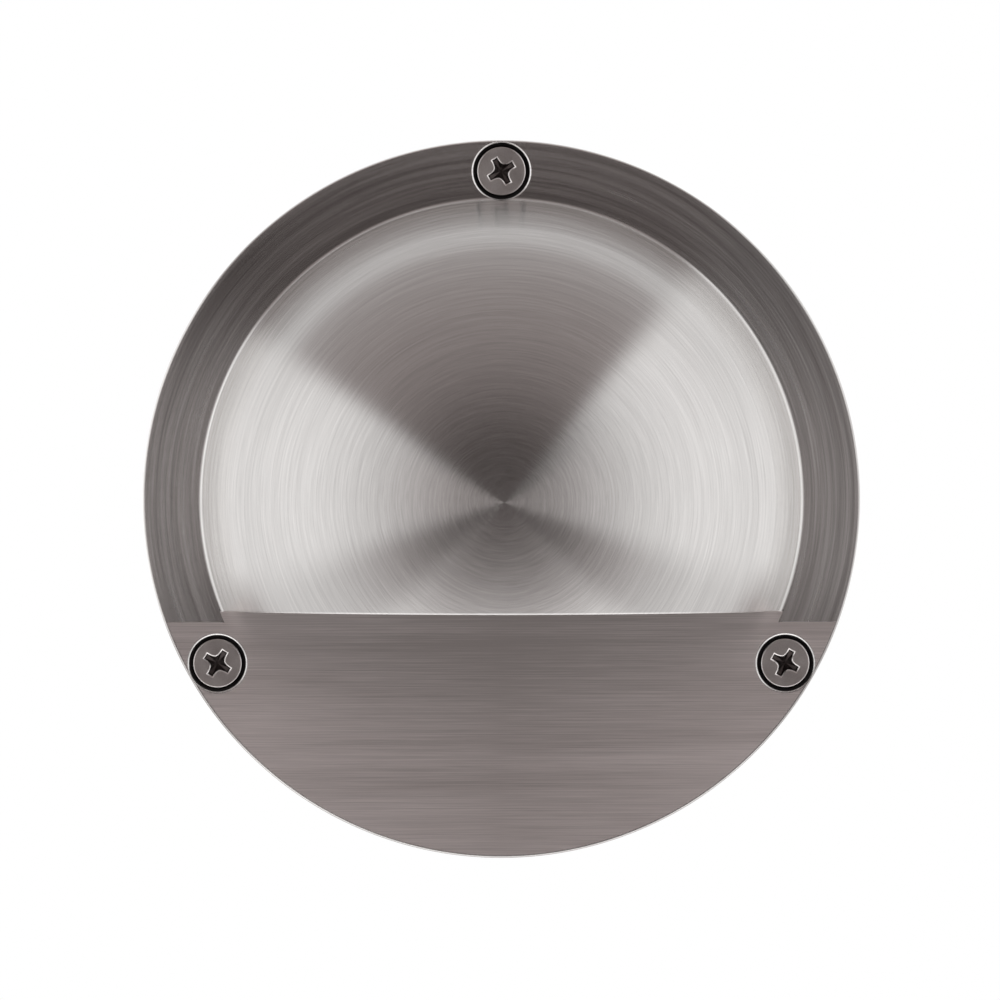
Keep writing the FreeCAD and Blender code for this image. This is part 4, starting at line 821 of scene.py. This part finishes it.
def soft_lamp():
    """Large lamp above and beside the viewer, which no reflection shows."""
    data = bpy.data.lights.new("soft_lamp", "AREA")
    data.shape = "RECTANGLE"
    data.size, data.size_y = 1.2, 0.9
    data.energy = 10.0
    lamp = bpy.data.objects.new("soft_lamp", data)
    lamp.location = (0.7, -1.5, 1.3)
    lamp.rotation_euler = (-Vector(lamp.location)).to_track_quat("-Z", "Y").to_euler()
    lamp.visible_glossy = False
    bpy.context.scene.collection.objects.link(lamp)


def studio_object(name, bm):
    """Object of the studio from a bmesh in metres."""
    mesh = bpy.data.meshes.new(name)
    bm.to_mesh(mesh)
    bm.free()
    obj = bpy.data.objects.new(name, mesh)
    bpy.context.scene.collection.objects.link(obj)
    return obj


def pale_floor():
    """Floor well below the light, which hangs in the middle of the picture."""
    bm = bmesh.new()
    add_grid(bm, [[(x, y, FLOOR) for x in (-3, 3)] for y in (-3, 3)], False)
    floor = studio_object("floor", bm)
    floor.visible_glossy = False
    cloth = grained("floor_pale", (0.86, 0.86, 0.86), (0.90, 0.90, 0.90), (0.7, 0.8), 30.0, 0.0001)
    floor.data.materials.append(cloth)


def tent():
    """Tent round the light: bright sides, a dim ceiling and a dark front where the viewer stands."""
    bm = bmesh.new()
    bmesh.ops.create_icosphere(bm, subdivisions=5, radius=TENT_RADIUS)
    obj = studio_object("tent", bm)
    for ray in ("camera", "diffuse", "transmission", "volume_scatter", "shadow"):
        setattr(obj, f"visible_{ray}", False)
    recipe = Recipe("tent_cloth")
    tree = recipe.tree
    x, y, z = recipe.split(recipe.scaled(recipe.place, (1 / TENT_RADIUS,) * 3))
    # The angle off the viewer's line as a share of 180 degrees, and the bearing round it in degrees.
    off_axis = recipe.math("DIVIDE", recipe.math("ARCCOSINE", recipe.times(y, -1.0)), math.pi)
    bearing = recipe.math("DEGREES", recipe.math("ARCTAN2", z, x))

    def levels(table):
        """Brightness from a table; dim light is a little warmer."""
        ramp = tree.nodes.new("ShaderNodeValToRGB")
        marks = ramp.color_ramp.elements
        while len(marks) < len(table):
            marks.new(0.5)
        for mark, (angle, _) in zip(marks, table):
            mark.position = angle / 180
        for mark, (_, value) in zip(ramp.color_ramp.elements, table):
            warmth = 0.2 * max(0.0, 1 - value / 0.9)
            mark.color = (value * (1 + warmth), value, value * (1 - 0.15 * warmth), 1)
        recipe.feed(off_axis, ramp.inputs[0])
        return ramp.outputs[0]

    def window(low, high, soft, low_flare=0.0, high_flare=0.0):
        """1 between two bearings, with soft sides that spread by the flares near the axis."""
        wider, later = (recipe.span(off_axis, flare, 0.0, 0.08, 0.2) for flare in (low_flare, high_flare))
        rise = recipe.span(recipe.add(bearing, wider), 0.0, 1.0, low - soft, low + soft)
        fall = recipe.span(recipe.math("SUBTRACT", bearing, later), 1.0, 0.0, high - soft, high + soft)
        return recipe.times(rise, fall)

    def mixed(share, below, above):
        node = tree.nodes.new("ShaderNodeMix")
        node.data_type = "RGBA"
        for source, socket in zip((share, below, above), (node.inputs["Factor"], node.inputs[6], node.inputs[7])):
            recipe.feed(source, socket)
        return node.outputs[2]

    # The left side is a little brighter than the right one near the axis.
    lean = recipe.times(x, recipe.span(off_axis, -1.6, 0.0, 0.05, 0.13))
    sides = tree.nodes.new("ShaderNodeVectorMath")
    sides.operation = "SCALE"
    recipe.feed(levels(SIDE_LEVELS), sides.inputs[0])
    recipe.feed(recipe.add(lean, 1.0), sides.inputs["Scale"])
    colour = mixed(window(*LOW_WINDOW), sides.outputs[0], levels(LOW_LEVELS))
    for bar in BARS:
        colour = mixed(window(*bar), colour, levels(BAR_LEVELS))
    flare = recipe.times(window(*FLARE_WINDOW), recipe.span(off_axis, 0.0, 0.35, 0.36, 0.42))
    colour = mixed(flare, colour, levels(TOP_LEVELS))
    colour = mixed(window(*TOP_WINDOW), colour, levels(TOP_LEVELS))
    glow = tree.nodes.new("ShaderNodeEmission")
    recipe.feed(colour, glow.inputs["Color"])
    tree.nodes.remove(recipe.shader)
    recipe.feed(glow.outputs[0], tree.nodes["Material Output"].inputs["Surface"])
    obj.data.materials.append(recipe.material)


def camera():
    """Camera at the photograph's angle: a little above and left of straight ahead."""
    distance = 2.5
    picture_width = 0.1532  # metres across the picture at the light
    data = bpy.data.cameras.new("camera")
    data.sensor_width = 36.0
    data.lens = data.sensor_width * distance / picture_width
    data.clip_end = 50.0
    azimuth, elevation = math.radians(-1.2), math.radians(1.2)
    back = Vector((
        math.sin(azimuth) * math.cos(elevation),
        -math.cos(azimuth) * math.cos(elevation),
        math.sin(elevation),
    ))
    aim = Vector((-0.23 * MM, PLATE_FRONT * MM, -0.12 * MM))
    obj = bpy.data.objects.new("camera", data)
    obj.location = aim + back * distance
    obj.rotation_euler = (-back).to_track_quat("-Z", "Y").to_euler()
    bpy.context.scene.collection.objects.link(obj)
    bpy.context.scene.camera = obj


made = materials()
dress(made)
face_plate(made["plate_steel"], made["plate_level"], made["sink_shade"])
face_screws(made["screw_steel"], made["recess_shade"])
plain_world()
soft_lamp()
pale_floor()
tent()
camera()
bpy.context.scene.view_settings.view_transform = "Standard"
